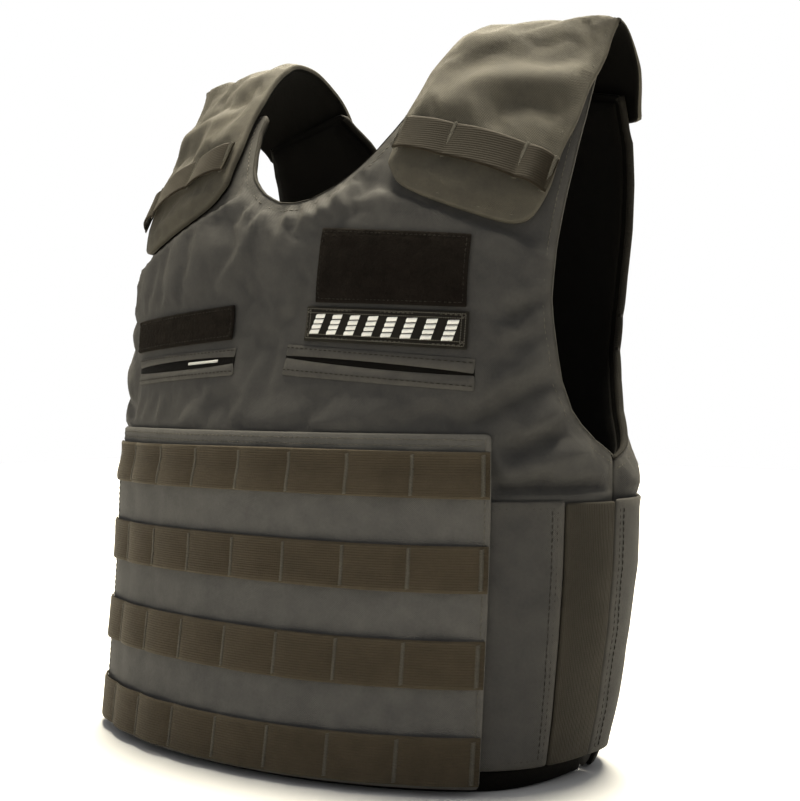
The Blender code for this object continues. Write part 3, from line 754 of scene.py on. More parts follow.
def tab_share(flat, panel):
    start, fall = TAB_STEP[panel]
    line = start - fall * (np.abs(flat[:, 0]) - 0.070)
    return ease((flat[:, 1] - line) / TAB_STEP_RUN) * ease((np.abs(flat[:, 0]) - 0.045) / 0.018)


def fold_height(flat, folds, both_sides=True):
    total = np.zeros(len(flat))
    for s0, v0, s1, v1, width, height in folds:
        for sign in (1.0, -1.0) if both_sides and s0 > 0.08 else (1.0,):
            a = np.array([sign * s0, v0])
            line = np.array([sign * s1, v1]) - a
            share = np.clip(((flat - a) @ line) / (line @ line), -0.15, 1.15)
            away = np.linalg.norm(flat - a - share[:, None] * line, axis=1)
            fade = np.clip(4.0 * share * (1.0 - share) + 0.35, 0.0, 1.0) * (1.0 if sign > 0.0 else 0.4)
            total += height * np.exp(-(away / width) ** 2) * fade
    return total


def patch_share(flat, margin=0.004):
    """1 on the chest patches and a little round them, else 0."""
    cover = np.zeros(len(flat))
    for corners in PATCHES.values():
        loop = np.array(corners)
        away = np.where(inside(flat, loop), 0.0, edge_frame(flat, loop)[0])
        cover = np.maximum(cover, 1.0 - ease((away - margin) / 0.008))
    return cover


def creases(flat, seed):
    """Short soft creases in drifting directions."""
    turn = 1.2 * grain(flat, 9.0, seed + 5.0)
    along = flat[:, 0] * np.cos(turn) + flat[:, 1] * np.sin(turn)
    across = flat[:, 1] * np.cos(turn) - flat[:, 0] * np.sin(turn)
    ridge = grain(np.stack([along * 0.35, across], axis=1), 55.0, seed + 6.0)
    return 0.0016 * ridge * ease(grain(flat, 13.0, seed + 7.0) * 1.6 + 0.5)


def base_lift(flat, panel):
    """The padded skin without its small creases, which the patches follow."""
    away, _ = edge_frame(flat, PANEL_LOOPS[panel])
    rim = swell(away / PANEL_RIM_REACH)
    tab = tab_share(flat, panel)
    return PANEL_RIM_DROP * (rim - 1.0) * (1.0 - 0.6 * tab) - TAB_DROP * tab


def panel_under(flat, panel):
    """Inner side of a panel: thick in the middle, thin along every edge."""
    away, _ = edge_frame(flat, PANEL_LOOPS[panel])
    share = swell(away / RIM_THIN_REACH)
    return rim_under(flat, panel) * (1.0 - share) - PANEL_THICK * share


def base_lift_at_rim(flat, panel):
    tab = tab_share(flat, panel)
    return -PANEL_RIM_DROP * (1.0 - 0.6 * tab) - TAB_DROP * tab


def rim_under(flat, panel):
    return np.minimum(-0.0085, base_lift_at_rim(flat, panel) - 0.0030)


def skin_lift(flat, panel):
    away, along = edge_frame(flat, PANEL_LOOPS[panel])
    rim = swell(away / PANEL_RIM_REACH)
    calm = 1.0 - tab_share(flat, panel)
    if panel == "front":
        calm = calm * (1.0 - patch_share(flat))
        under_flap = (np.abs(flat[:, 0]) < 0.158) & (flat[:, 1] < 0.192)
        calm = np.where(under_flap, 0.0, calm)
    side = (flat[:, 1] < 0.160) & (np.abs(flat[:, 0]) > 0.140)
    calm = np.where(side, 0.15, calm)
    seed = 3.1 if panel == "front" else 7.7
    broad = grain(flat, 17.0, seed) * 0.0022 + grain(flat, 42.0, seed + 1.0) * 0.0013 + creases(flat, seed)
    pucker = grain(np.stack([along, away * 0.25], axis=1), 95.0, seed + 2.0)
    pucker = pucker * np.exp(-away / 0.009) * 0.0012 * ease(away / 0.003)
    stitched = -0.0011 * np.exp(-((away - 0.0065) / 0.0016) ** 2)
    relief = fold_height(flat, FOLDS[panel]) * rim + broad * rim + pucker + stitched
    return base_lift(flat, panel) + relief * calm


def make_panel(panel, surface):
    outline = panel_outline(panel)

    def pin_and_settle(top, faces, flat):
        away, _ = edge_frame(flat, PANEL_LOOPS[panel])
        pins = 1.0 - ease((away - 0.004) / 0.010)
        pins = np.maximum(pins, tab_share(flat, panel))
        if panel == "front":
            pins = np.maximum(pins, patch_share(flat))
            flap = (np.abs(flat[:, 0]) < 0.160) & (flat[:, 1] < 0.194)
            pins = np.where(flap, 1.0, pins)
        low_side = (np.abs(flat[:, 0]) > 0.140) & (flat[:, 1] < 0.158)
        pins = np.where(low_side, 1.0, pins)
        return settled(top, faces, pins, *PANEL_SETTLE)

    def under(flat):
        return panel_under(flat, panel)

    _, top, flat = make_shell(
        panel + "_cover", outline, SKIN_PITCH, lambda p: skin_lift(p, panel), under, (CANVAS, LINING),
        surface, panel + "_carrier", corner=0.006, settle=pin_and_settle)
    lining, _, _ = make_shell(
        panel + "_inside", inset(outline, 0.004, 0.004), 0.0075, lambda p: under(p) - 0.0006,
        lambda p: under(p) - 0.0020 - 0.0009 * np.abs(grain(p, 45.0, 5.0)), LINING, surface,
        panel + "_lining", rim_steps=1, corner=0.0)
    return top, flat


def spread(flat, top, outer, surface):
    """Finds places on a finished skin: its stated lift, plus how far the cloth has settled there."""
    plain = lifted(surface, flat[:, 0], flat[:, 1], outer(flat))
    shift = top - plain
    tree = KDTree(len(flat))
    for index, point in enumerate(flat):
        tree.insert((float(point[0]), float(point[1]), 0.0), index)
    tree.balance()

    def place(points, extra):
        points = np.asarray(points, float)
        base = lifted(surface, points[:, 0], points[:, 1], outer(points) + extra)
        moved = np.zeros_like(base)
        for row, point in enumerate(points):
            near = tree.find_n((float(point[0]), float(point[1]), 0.0), 4)
            weight = np.array([1.0 / (item[2] + 1e-4) ** 2 for item in near])
            moved[row] = (shift[[item[1] for item in near]] * weight[:, None]).sum(axis=0) / weight.sum()
        return base + moved

    return place


def plain_place(outer, surface=body_point):
    def place(points, extra):
        points = np.asarray(points, float)
        return lifted(surface, points[:, 0], points[:, 1], outer(points) + extra)
    return place


def make_stitches(name, pairs, place, material, radius=0.00030, proud=0.00022, sides=5):
    """Small raised threads from pairs of flat points, each dipping into the cloth at both ends."""
    pairs = np.asarray(pairs, float)
    start = place(pairs[:, 0], 0.0)
    middle = place(pairs.mean(axis=1), proud)
    end = place(pairs[:, 1], 0.0)
    normal = unit(place(pairs.mean(axis=1), proud + 0.001) - middle)
    side = np.cross(unit(end - start), normal)
    angle = np.arange(sides) * 2.0 * math.pi / sides
    count = len(pairs)
    rings = []
    for centre, size in ((start, 0.55), (middle, 1.0), (end, 0.55)):
        spoke = side[:, None] * np.cos(angle)[None, :, None] + normal[:, None] * np.sin(angle)[None, :, None]
        rings.append(centre[:, None] + spoke * radius * size)
    verts = np.concatenate(rings, axis=1).reshape(-1, 3)
    faces = []
    for item in range(count):
        base = item * 3 * sides
        for ring in range(2):
            for k in range(sides):
                low = base + ring * sides
                nxt = (k + 1) % sides
                faces.append((low + k, low + nxt, low + sides + nxt, low + sides + k))
        faces.append(tuple(base + k for k in reversed(range(sides))))
        faces.append(tuple(base + 2 * sides + k for k in range(sides)))
    return new_piece(name, verts, faces, np.zeros((len(verts), 2)), material)


def stitch_pairs(path, length=0.0027, gap=0.0009, closed=False):
    """Stitches along a flat path."""
    path = np.asarray(path, float)
    if closed:
        path = np.vstack([path, path[:1]])
    run = np.concatenate([[0.0], np.cumsum(np.linalg.norm(np.diff(path, axis=0), axis=1))])
    count = max(1, int(run[-1] / (length + gap)))
    begin = np.arange(count) * run[-1] / count
    rows = []
    for a in (begin, begin + length):
        rows.append(np.stack([np.interp(a, run, path[:, 0]), np.interp(a, run, path[:, 1])], axis=1))
    return np.stack(rows, axis=1)


def tack_pairs(centres, up, height, width=0.0023, pitch=0.00075):
    """Dense cross stitches stacked into bar tacks."""
    rows = []
    for centre, direction in zip(centres, up):
        across = np.array([direction[1], -direction[0]])
        for step in np.arange(-0.5 * height, 0.5 * height, pitch):
            middle = centre + direction * step
            lean = direction * 0.00035
            rows.append((middle - across * 0.5 * width - lean, middle + across * 0.5 * width + lean))
    return np.array(rows)


def make_tacks(name, pairs, lift, surface=body_point):
    """Bar tacks on webbing that lies on a surface with the given lift."""
    place = plain_place(lambda p: lift(p) + TACK_LIFT, surface)
    make_stitches(name, pairs, place, PALE_THREAD, radius=TACK_RADIUS)


def make_band(name, flat_at, tacks, base, material, surface, node, bulge=0.0022, seed=1.0, thick=0.0014,
              ribs=13, overrun=0.0, lip=0.0):
    """Webbing tacked down at places along it: cells stand proud between tacks.

    flat_at(u, w) gives the flat points at u along the webbing and w across it."""
    rng = np.random.default_rng(int(seed * 100))
    tacks = np.asarray(tacks, float)
    u = [tacks[0] - overrun] if overrun else []
    for left, right in zip(tacks[:-1], tacks[1:]):
        u.extend(left + (right - left) * CELL_STOPS)
    u.append(tacks[-1])
    if overrun:
        u.append(tacks[-1] + overrun)
    u = np.array(u)
    cell = np.clip(np.searchsorted(tacks, u, side="right") - 1, 0, len(tacks) - 2)
    height = bulge * rng.uniform(0.75, 1.25, len(tacks) - 1)
    local = np.clip((u - tacks[cell]) / (tacks[cell + 1] - tacks[cell]), 0.0, 1.0)
    rise = height[cell] * np.sin(np.pi * local) ** 0.75
    w_top = np.linspace(1.0, 0.0, 2 * ribs + 1)
    rib = 0.00003 * np.cos(2.0 * np.pi * ribs * w_top)
    edge_drop = np.where(np.abs(w_top - 0.5) > 0.49, -0.0005, 0.0)
    w_ring = np.concatenate([w_top, np.linspace(0.0, 1.0, 2 * ribs + 1)])
    lift_ring = np.concatenate([thick + rib + edge_drop, -0.5 * rib])
    lift_ring[len(w_top)] += 0.0004
    lift_ring[-1] += 0.0004
    rows = []
    flats = []
    for i, value in enumerate(u):
        flat = flat_at(np.full(len(w_ring), value), w_ring)
        lean = 0.3 * math.sin(9.0 * value + seed)
        tip = rise[i] * (1.0 + lean * (0.5 - w_ring) * 1.2) + lip * (1.0 - w_ring) ** 2
        lift = base(flat) + 0.0007 + tip + lift_ring
        flats.append(flat)
        rows.append(lifted(surface, flat[:, 0], flat[:, 1], lift))
    ring = len(w_ring)
    verts = np.vstack(rows)
    uvs = np.vstack(flats)
    faces = []
    for i in range(len(u) - 1):
        for k in range(ring):
            a = i * ring + k
            b = i * ring + (k + 1) % ring
            faces.append((a, b, b + ring, a + ring))
    half = len(w_top)
    for row, turn in ((0, True), ((len(u) - 1) * ring, False)):
        for k in range(half - 1):
            quad = (row + k, row + k + 1, row + ring - 2 - k, row + ring - 1 - k)
            faces.append(quad if turn else quad[::-1])
    wear = np.tile(np.exp(-np.minimum(w_ring, 1.0 - w_ring) * 14.0), len(u))
    faces = [tuple(reversed(f)) for f in faces]
    return new_piece(name, verts, faces, uvs, material, node, wear)


def make_rim_tape(name, path, surface, panel, node, material, thick=0.0005):
    """Edge tape folded round a panel's rim, from the wall's upper corner to the inner side."""
    path = densify(path, TAPE_PITCH, closed=False)
    count = len(path)
    outward = path_side(path)
    middle, wall, radius, core = rim_of(path, outward, base_lift_at_rim(path, panel), rim_under(path, panel))
    profile = [(math.radians(62.0), 1.0, 0.0)] + [(*row, 0.0) for row in rim_profile(3)[1:]]
    profile += [(-0.5 * math.pi, -1.0, 0.0), (-0.5 * math.pi, -1.0, 0.0040)]
    rings = []
    flats = []
    for number, (angle, side, back) in enumerate(profile + profile[::-1]):
        reach = radius + (thick if number < len(profile) else -0.0002)
        point = core + outward * (reach * math.cos(angle) - back)[:, None]
        rings.append(lifted(surface, point[:, 0], point[:, 1],
                            middle + side * wall + reach * math.sin(angle)))
        flats.append(np.stack([np.arange(count) * TAPE_PITCH, np.full(count, number * 0.0012)], axis=1))
    size = len(rings)
    verts = np.vstack(rings)
    faces = []
    for k in range(size):
        nxt = (k + 1) % size
        for i in range(count - 1):
            faces.append((k * count + i, nxt * count + i, nxt * count + i + 1, k * count + i + 1))
    for k in range(size // 2 - 1):
        quad = (k * count, (size - 1 - k) * count, (size - 2 - k) * count, (k + 1) * count)
        faces.append(quad)
        faces.append(tuple(i + count - 1 for i in reversed(quad)))
    faces = [tuple(reversed(face)) for face in faces]
    return new_piece(name, verts, faces, np.vstack(flats), material, node, np.zeros(len(verts)))


# Flap with its webbing rows

def flap_under(flat):
    return 0.0040 - 0.0030 * ease((flat[:, 1] - 0.158) / 0.018)


def row_share(flat, margin=0.0015):
    """1 where a webbing row lies on the flap."""
    cover = np.zeros(len(flat))
    for top in ROW_TOPS:
        away = np.maximum(flat[:, 1] - top, top - WEBBING_WIDTH - flat[:, 1])
        cover = np.maximum(cover, 1.0 - ease((away - margin) / 0.004))
    return cover


def flap_top(flat):
    phase = (flat[:, 0] + FLAP_HALF - FLAP_HEM) / WEBBING_CELL
    cell = np.abs(np.sin(np.pi * phase)) ** 0.8
    rim = np.minimum(flat[:, 1] - FLAP_LOW, FLAP_HIGH - flat[:, 1])
    rim = np.minimum(FLAP_HALF - np.abs(flat[:, 0]), rim)
    free = (1.0 - row_share(flat)) * ease(rim / 0.008)
    wave = 0.0013 * cell + 0.0007 * grain(flat, 38.0, 2.2) - 0.0004
    hem = 0.0005 * (1.0 - ease((rim - 0.005) / 0.002)) - 0.0003 * np.exp(-((rim - 0.0045) / 0.0008) ** 2)
    return flap_under(flat) + FLAP_THICK + wave * free + hem


def flap_calm(flat):
    return flap_under(flat) + FLAP_THICK


def make_flap():
    half = FLAP_HALF
    outline = [(-half, FLAP_LOW), (half, FLAP_LOW), (half, FLAP_HIGH), (-half, FLAP_HIGH)]
    # The flap is drawn in the paler canvas copy, which is painted light.
    flap, _, _ = make_shell("flap", outline, 0.0042, flap_top, flap_under, FLAP_CLOTH_PAINTED_LIGHT, body_point,
                               "front_flap", rim_steps=1, corner=0.003)
    ends = half - 0.004
    sides = half - 0.003
    rows = [stitch_pairs(((-ends, v), (ends, v))) for v in (FLAP_HIGH - 0.0030, FLAP_HIGH - 0.0062)]
    rows += [stitch_pairs(((sign * sides, 0.188), (sign * sides, 0.006))) for sign in (-1.0, 1.0)]
    rows.append(stitch_pairs(((-ends, 0.0065), (ends, 0.0065))))
    make_stitches("flap_stitching", np.vstack(rows), plain_place(flap_top), PALE_THREAD)


def make_rows():
    half = 0.5 * WEBBING_CELL * WEBBING_CELLS
    tacks = np.linspace(-half, half, WEBBING_CELLS + 1)
    pairs = []
    for number, top in enumerate(ROW_TOPS, start=1):
        def flat_at(u, w, top=top, number=number):
            sway = 0.0004 * np.sin(23.0 * u + number)
            return np.stack([u, top - WEBBING_WIDTH * (1.0 - w) + sway], axis=1)

        make_band("webbing_%d" % number, flat_at, tacks, flap_calm, WEBBING, body_point,
                  "webbing_row_%d" % number, seed=float(number), overrun=0.0035)
        mid = top - 0.5 * WEBBING_WIDTH
        centres = np.stack([tacks, np.full(len(tacks), mid)], axis=1)
        pairs.append(tack_pairs(centres, np.tile((0.0, 1.0), (len(tacks), 1)), WEBBING_WIDTH - 0.003))
    make_tacks("webbing_tacks", np.vstack(pairs), flap_calm)


# Cummerbund

def make_sides():
    for name, s0, s1, v0, v1 in SIDE_PIECES:
        for side, sign in (("left", 1.0), ("right", -1.0)):
            outline = [(s0, v0), (s1, v0), (s1, v1), (s0, v1)]
            if sign < 0.0:
                outline = [(-s, v) for s, v in reversed(outline)]
            elastic = "elastic" in name

            def outer(flat, elastic=elastic, s0=s0, s1=s1, v0=v0, v1=v1):
                reach = np.abs(flat[:, 0])
                rim = np.minimum(flat[:, 1] - v0, v1 - flat[:, 1])
                rim = np.minimum(np.minimum(reach - s0, s1 - reach), rim)
                wave = 0.0006 * grain(flat, 30.0, 9.0) + 0.0003 * grain(flat, 80.0, 4.0)
                ribs = 0.00009 * np.cos(2.0 * np.pi * reach / 0.0032) if elastic else 0.0
                groove = 0.0 if elastic else -0.0004 * np.exp(-((rim - 0.004) / 0.0009) ** 2)
                return CUMMERBUND_UNDER + CUMMERBUND_THICK + (wave + ribs) * ease(rim / 0.005) + groove

            wrap = name.replace("side_", "wrap_")
            piece, _, _ = make_shell(
                wrap + "_" + side, outline, 0.0016 if elastic else 0.0045, outer,
                lambda p: np.full(len(p), CUMMERBUND_UNDER), ELASTIC if elastic else CANVAS, body_point,
                name + "_" + side, rim_steps=1, corner=0.002)
            if elastic:
                continue
            low, high = v0 + 0.004, v1 - 0.004
            a, b = sign * (s0 + 0.004), sign * (s1 - 0.004)
            rows = [stitch_pairs(((a, v), (b, v))) for v in (high, low)]
            seam, second = (b, -0.003) if name == "side_panel_front" else (a, 0.003)
            for shift in (0.0, second):
                rows.append(stitch_pairs(((seam + sign * shift, low), (seam + sign * shift, high))))
            make_stitches(wrap + "_stitches_" + side, np.vstack(rows), plain_place(outer), THREAD)


# Chest

def welt_profile(flat, corners):
    loop = np.array(corners)
    away = edge_frame(flat, loop)[0]
    return swell(away / 0.0028)


def opened_slit(corners, level):
    """A welt's outline, with the edge along the slit drawn back in the middle."""
    a, b, c, d = np.array(corners)
    share = np.linspace(0.0, 1.0, 13)[:, None]
    back = 0.0013 * np.sin(np.pi * share) ** 0.7
    if level == "upper":
        edge = a + (b - a) * share + (d - a) / np.linalg.norm(d - a) * back
        return np.vstack([edge, [c, d]])
    edge = d + (c - d) * share + (a - d) / np.linalg.norm(a - d) * back
    return np.vstack([[a, b], edge[::-1]])


def make_chest():
    def follow(flat):
        return base_lift(flat, "front")

    jobs = (
        ("chest_loop_panel", LOOP, "loop", 0.0018, 0.0013, 0.0010),
        ("chest_loop_strip", LOOP, "loop", 0.0018, 0.0013, 0.0010),
        ("name_strip", LABEL, "label", 0.0016, 0.0022, 0.0010),
    )
    for name, material, slot, thick, pitch, corner in jobs:
        corners = PATCHES[name]
        loop = np.array(corners)

        def outer(flat, thick=thick, loop=loop, slot=slot):
            away = edge_frame(flat, loop)[0]
            if slot == "label":
                pile = 0.0003 * grain(flat, 60.0, 6.0)
            else:
                pile = 0.00055 * grain(flat, 620.0, 3.0) + 0.00045 * grain(flat, 130.0, 6.0)
            return follow(flat) + PATCH_GAP + thick + pile - 0.0005 * np.exp(-((away - 0.0024) / 0.0008) ** 2)

        make_shell(name + "_cloth", corners, pitch, outer, lambda p: follow(p) + PATCH_GAP * 0.5, material,
                   body_point, name, rim_steps=1, corner=corner)
        seam = stitch_pairs(inset(corners, 0.003, 0.0022), 0.0022, 0.0008, closed=True)
        make_stitches(name + "_stitches", seam, plain_place(outer),
                      PALE_THREAD if slot == "label" else THREAD)
    strip = np.array(PATCHES["name_strip"])
    rows = [stitch_pairs(inset(strip, 0.002, by), 0.0011, 0.0003, closed=True) for by in (0.0016, 0.0040)]
    make_stitches("name_strip_border", np.vstack(rows), plain_place(lambda p: follow(p) + PATCH_GAP + 0.0016),
                  PALE_THREAD, radius=0.00032)
    low, low_end, _, high = strip
    pairs = []
    for share in np.linspace(0.09, 0.91, 8):
        foot = low + (low_end - low) * (share - 0.016) + (high - low) * 0.20
        head = low + (low_end - low) * (share + 0.026) + (high - low) * 0.80
        for offset in np.linspace(-0.0030, 0.0030, 9):
            pairs.extend(stitch_pairs((foot + (offset, 0.0), head + (offset, 0.0)), 0.0026, 0.0001))
    make_stitches("name_strip_bars", np.array(pairs), plain_place(lambda p: follow(p) + PATCH_GAP + 0.0018),
                  WHITE, radius=0.00042)
    for side in ("left", "right"):
        for level in ("upper", "lower"):
            name = "pocket_welt_%s_%s" % (level, side)
            corners = opened_slit(PATCHES[name], level)

            def outer(flat, corners=corners):
                return follow(flat) + 0.0008 + 0.0011 * welt_profile(flat, corners)

            make_shell(name + "_cloth", corners, 0.0019, outer, lambda p: follow(p) + 0.0002, CANVAS,
                       body_point, name, rim_steps=2, corner=0.0012)
            a, b, c, d = np.array(PATCHES[name])
            down, up = (0.72, 0.28) if level == "lower" else (0.3, 0.7)
            line = (a * down + d * up, b * down + c * up)
            make_stitches(name + "_stitches", stitch_pairs(line), plain_place(outer), THREAD)
    # A near-black sheet in the lining material, laid under the gap between each pair of welts: painted shadow
    # in the slit.
    for side in ("left", "right"):
        low = np.array(PATCHES["pocket_welt_lower_" + side])
        top = np.array(PATCHES["pocket_welt_upper_" + side])
        outline = [low[3] * 0.6 + low[0] * 0.4, low[2] * 0.6 + low[1] * 0.4,
                   top[1] * 0.6 + top[2] * 0.4, top[0] * 0.6 + top[3] * 0.4]
        make_shell("pocket_slit_painted_shadow_" + side, outline, 0.004, lambda p: follow(p) + 0.0007,
                   lambda p: follow(p) + 0.0002, LINING, rim_steps=1, corner=0.0)
    teeth = []
    for share in np.linspace(0.0, 1.0, 22):
        s = -0.0680 + 0.028 * share
        v = 0.2305 + 0.0014 * share
        teeth.append(((s, v - 0.0007), (s + 0.0002, v + 0.0009)))
    place = plain_place(lambda p: follow(p) + PATCH_GAP + 0.0006)
    zipper = make_stitches("zip_teeth", np.array(teeth), place, ZIP, radius=0.00060)
    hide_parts("zip_right")


# Shoulder straps

def strap_x(share, d):
    inner = np.interp(d, STRAP_SIDES[:, 0], STRAP_SIDES[:, 1])
    outer = np.interp(d, STRAP_SIDES[:, 0], STRAP_SIDES[:, 2])
    return inner + (outer - inner) * share


def strap_share(flat):
    inner = strap_x(0.0, flat[:, 1])
    return (flat[:, 0] - inner) / (strap_x(1.0, flat[:, 1]) - inner)


def strap_outline():
    rows = []
    for share, v in STRAP_END:
        x = float(strap_x(share, -0.140))
        rows.append((x, float(strap_reach(x, v, -1))))
    back = [float(strap_reach(strap_x(share, 0.090), STRAP_BACK_V, 1)) for share in (0.0, 1.0)]
    front_outer = rows[-1][1]
    front_inner = rows[0][1]
    for share in np.linspace(0.06, 0.96, 16):
        d = front_outer + (back[1] - front_outer) * share
        rows.append((float(strap_x(1.0, d)) + 0.0008 * math.sin(31.0 * share), d))
    rows.append((float(strap_x(1.0, back[1])), back[1]))
    rows.append((float(strap_x(0.0, back[0])), back[0]))
    for share in np.linspace(0.96, 0.05, 16):
        d = front_inner + (back[0] - front_inner) * share
        rows.append((float(strap_x(0.0, d)) + 0.0008 * math.sin(37.0 * share), d))
    return rows


STRAP_LOOP = np.array(strap_outline())


def strap_web_flat(u, w):
    d = STRAP_WEB_LOW + STRAP_WEB_SLANT * u + STRAP_WEB_WIDTH * w
    return np.stack([strap_x(u, d), d], axis=1)


def strap_web_share(flat):
    low = STRAP_WEB_LOW + STRAP_WEB_SLANT * strap_share(flat)
    away = np.maximum(low - flat[:, 1], flat[:, 1] - low - STRAP_WEB_WIDTH)
    return 1.0 - ease((away - 0.001) / 0.005)


def strap_calm(flat):
    away = edge_frame(flat, STRAP_LOOP)[0]
    crest = np.exp(-((flat[:, 1] + 0.010) / 0.045) ** 2) * ease((strap_share(flat) - 0.25) / 0.5)
    loft = (STRAP_LOFT - STRAP_EDGE_LOFT) * swell(away / 0.011)
    return STRAP_UNDER + STRAP_RIM_THICK + STRAP_EDGE_LOFT + loft - STRAP_CREST_DROP * crest


def strap_top(flat):
    away = edge_frame(flat, STRAP_LOOP)[0]
    folds = [(float(strap_x(u0, d0)), d0, float(strap_x(u1, d1)), d1, size, height)
             for u0, d0, u1, d1, size, height in STRAP_FOLDS]
    free = (1.0 - strap_web_share(flat)) * ease(away / 0.010)
    broad = 0.0012 * grain(flat, 24.0, 1.4) + 0.0006 * grain(flat, 60.0, 8.4) + 0.5 * creases(flat, 4.3)
    shape = fold_height(flat, folds, both_sides=False) * free + broad * free
    stitched = -0.0010 * np.exp(-((away - STRAP_SEAM) / 0.0012) ** 2)
    return np.maximum(strap_calm(flat) + shape + stitched, STRAP_UNDER + STRAP_LEAST)


def make_straps():
    for side, surface in (("left", strap_point), ("right", strap_right)):
        outline = STRAP_LOOP if side == "left" else mirrored(STRAP_LOOP[::-1])

        def unfold(function, side=side):
            if side == "left":
                return function
            return lambda flat: function(mirrored(flat))

        def pin_and_settle(top, faces, flat, side=side):
            here = flat if side == "left" else mirrored(flat)
            away = edge_frame(here, STRAP_LOOP)[0]
            pins = 1.0 - ease((away - 0.004) / 0.008)
            pins = np.maximum(pins, strap_web_share(here))
            return settled(top, faces, pins, *STRAP_SETTLE)

        outer = unfold(strap_top)
        _, top, flat = make_shell(
            "strap_" + side, outline, SKIN_PITCH, outer, lambda p: np.full(len(p), STRAP_UNDER),
            (STRAP_CLOTH, LINING), surface, "shoulder_strap_" + side,
            corner=STRAP_CORNER, settle=pin_and_settle)
        place = spread(flat, top, outer, surface)
        border = densify(rounded(outline, STRAP_CORNER), 0.004)
        border = border - outward_of(border) * STRAP_SEAM
        make_stitches("strap_stitches_" + side, stitch_pairs(border, closed=True), place, PALE_THREAD)
        mirror = 1.0 if side == "left" else -1.0

        def flat_at(u, w, mirror=mirror):
            if mirror < 0.0:
                u = -u
            return strap_web_flat(u, w) * np.array([mirror, 1.0])

        tacks = np.array(STRAP_TACKS) * mirror
        tacks = tacks if mirror > 0 else tacks[::-1]
        make_band("strap_web_" + side, flat_at, tacks, unfold(strap_calm), STRAP_WEB, surface,
                  "strap_webbing_" + side, bulge=0.0018, seed=6.0 + mirror, overrun=0.018,
                  lip=0.0016)
        centres = flat_at(tacks, np.full(len(tacks), 0.5))
        heads = flat_at(tacks, np.full(len(tacks), 0.6))
        make_tacks("strap_tacks_" + side, tack_pairs(centres, unit(heads - centres), 0.022),
                   unfold(strap_calm), surface)


def make_edges():
    front_half = list(FRONT_NECK[1:-1]) + [(0.0693, 0.4042)]
    back_half = list(BACK_NECK[1:-1]) + [(0.0720, 0.4185)]
    neck_front = [(-s, v) for s, v in reversed(front_half)] + [FRONT_NECK[0]] + front_half
    neck_back = [(-s, v) for s, v in reversed(back_half)] + [BACK_NECK[0]] + back_half
    make_rim_tape("neck_tape_front", neck_front[::-1], body_point, "front", "neck_binding_front", TAPE)
    make_rim_tape("neck_tape_back", neck_back[::-1], back_point, "back", "neck_binding_back", TAPE)
    arms = (("front", FRONT_ARM, body_point, 1.0), ("back", BACK_ARM, back_point, -1.0))
    for panel, arm, surface, sign in arms:
        for side, turn in (("left", sign), ("right", -sign)):
            path = np.array([(turn * s, v) for s, v in arm[::-1]])
            if turn < 0.0:
                path = path[::-1]
            make_rim_tape("arm_tape_%s_%s" % (panel, side), path, surface, panel,
                          "armhole_binding_%s_%s" % (panel, side), EDGE_TAPE if panel == "front" else TAPE)


def make_topstitching(panel, place):
    neck, arm = OUTLINES[panel]
    rows = []
    for half in (neck, arm):
        path = densify(half, 0.004, closed=False)
        inward = path + path_side(path) * PANEL_SEAM
        for sign in (1.0, -1.0):
            rows.append(stitch_pairs(inward * np.array([sign, 1.0])))
    make_stitches(panel + "_topstitching", np.vstack(rows), place, PALE_THREAD)


def make_hem(panel, surface):
    half = OUTLINES[panel][1][-1][0] - 0.006

    def outer(flat):
        return base_lift(flat, panel) * 0.6 + 0.0007

    # A near-black band in the lining material along the panel's lower edge, about 11 mm tall.
    outline = [(-half, 0.0006), (half, 0.0006), (half, 0.0112), (-half, 0.0112)]
    make_shell(panel + "_hem_dark_band", outline, 0.0026, outer, lambda p: base_lift(p, panel) - 0.0004, LINING,
               surface, rim_steps=1, corner=0.001)


def add_lamp(light, towards, place=(0.0, 0.0, 0.0)):
    lamp = bpy.data.objects.new(light.name, light)
    lamp.location = place
    lamp.rotation_euler = towards.to_track_quat("-Z", "Y").to_euler()
    bpy.context.scene.collection.objects.link(lamp)


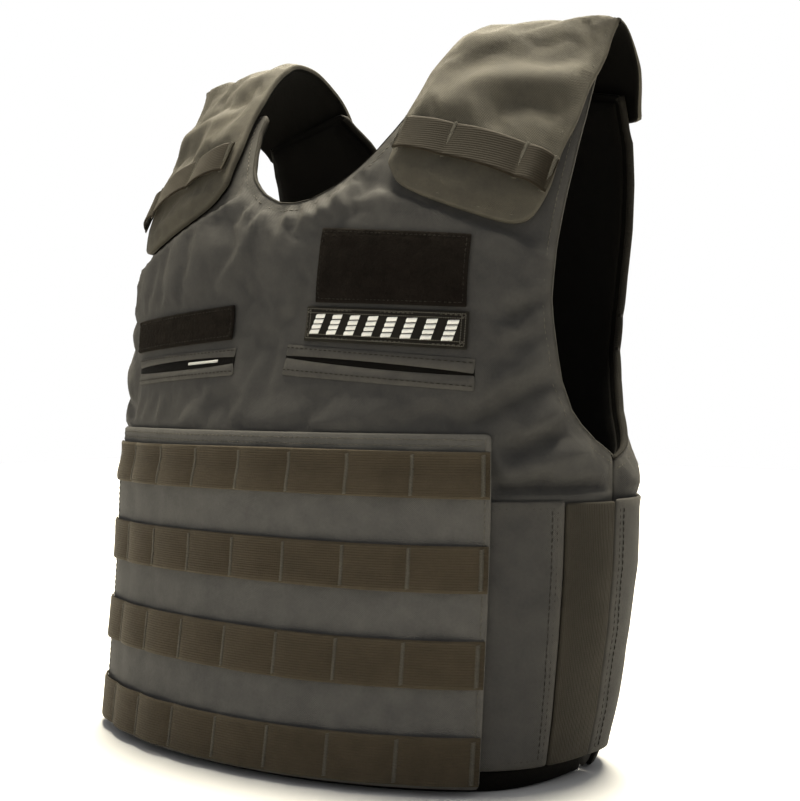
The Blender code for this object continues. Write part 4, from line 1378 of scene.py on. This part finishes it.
def make_studio():
    scene = bpy.context.scene
    scene.view_settings.view_transform = "Standard"
    camera = bpy.data.objects.new("camera", bpy.data.cameras.new("camera"))
    camera.data.sensor_width = SENSOR_MM
    camera.data.lens = SENSOR_MM * FOCAL_PX / FRAME_PX
    camera.data.shift_y = -HORIZON_RISE_PX / FRAME_PX
    camera.location = EYE
    camera.rotation_euler = (math.radians(90.0), 0.0, BEARING)
    scene.collection.objects.link(camera)
    scene.camera = camera

    world = bpy.data.worlds.new("studio")
    world.use_nodes = True
    tree = world.node_tree
    background = tree.nodes["Background"]
    background.inputs[1].default_value = 1.0
    direction = tree.nodes.new("ShaderNodeTexCoord").outputs["Generated"]
    turn = tree.nodes.new("ShaderNodeVectorMath")
    turn.operation = "DOT_PRODUCT"
    turn.inputs[1].default_value = SHADE_SIDE
    tree.links.new(direction, turn.inputs[0])
    fade = tree.nodes.new("ShaderNodeMapRange")
    fade.interpolation_type = "SMOOTHSTEP"
    fade.inputs["From Min"].default_value, fade.inputs["From Max"].default_value = SHADE_RANGE
    fade.inputs["To Min"].default_value = 1.0
    fade.inputs["To Max"].default_value = SHADE_LEVEL
    tree.links.new(turn.outputs["Value"], fade.inputs["Value"])
    tree.links.new(fade.outputs["Result"], background.inputs[0])
    scene.world = world

    mesh = bpy.data.meshes.new("floor")
    size = FLOOR_HALF
    mesh.from_pydata([(-size, -size, 0.0), (size, -size, 0.0), (size, size, 0.0), (-size, size, 0.0)], [],
                     [(0, 1, 2, 3)])
    floor = bpy.data.objects.new("floor", mesh)
    scene.collection.objects.link(floor)
    paper = bpy.data.materials.new("paper")
    paper.use_nodes = True
    shader = paper.node_tree.nodes["Principled BSDF"]
    shader.inputs["Base Color"].default_value = (FLOOR_GREY, FLOOR_GREY, FLOOR_GREY, 1.0)
    shader.inputs["Roughness"].default_value = 0.9
    mesh.materials.append(paper)

    area = bpy.data.lights.new("top_back", "AREA")
    area.energy = TOP_POWER
    area.size = TOP_SIZE
    area.color = TOP_COLOUR
    add_lamp(area, Vector(TOP_AIM) - Vector(TOP_PLACE), TOP_PLACE)
    sun = bpy.data.lights.new("key", "SUN")
    sun.energy = KEY_POWER
    sun.angle = math.radians(KEY_SPREAD)
    sun.color = KEY_COLOUR
    add_lamp(sun, -Vector(KEY_FROM))


def main():
    make_studio()
    for panel, surface in (("front", body_point), ("back", back_point)):
        top, flat = make_panel(panel, surface)
        place = spread(flat, top, lambda p, panel=panel: skin_lift(p, panel), surface)
        make_topstitching(panel, place)
        make_hem(panel, surface)
    make_edges()
    make_flap()
    make_rows()
    make_sides()
    make_chest()
    make_straps()


main()
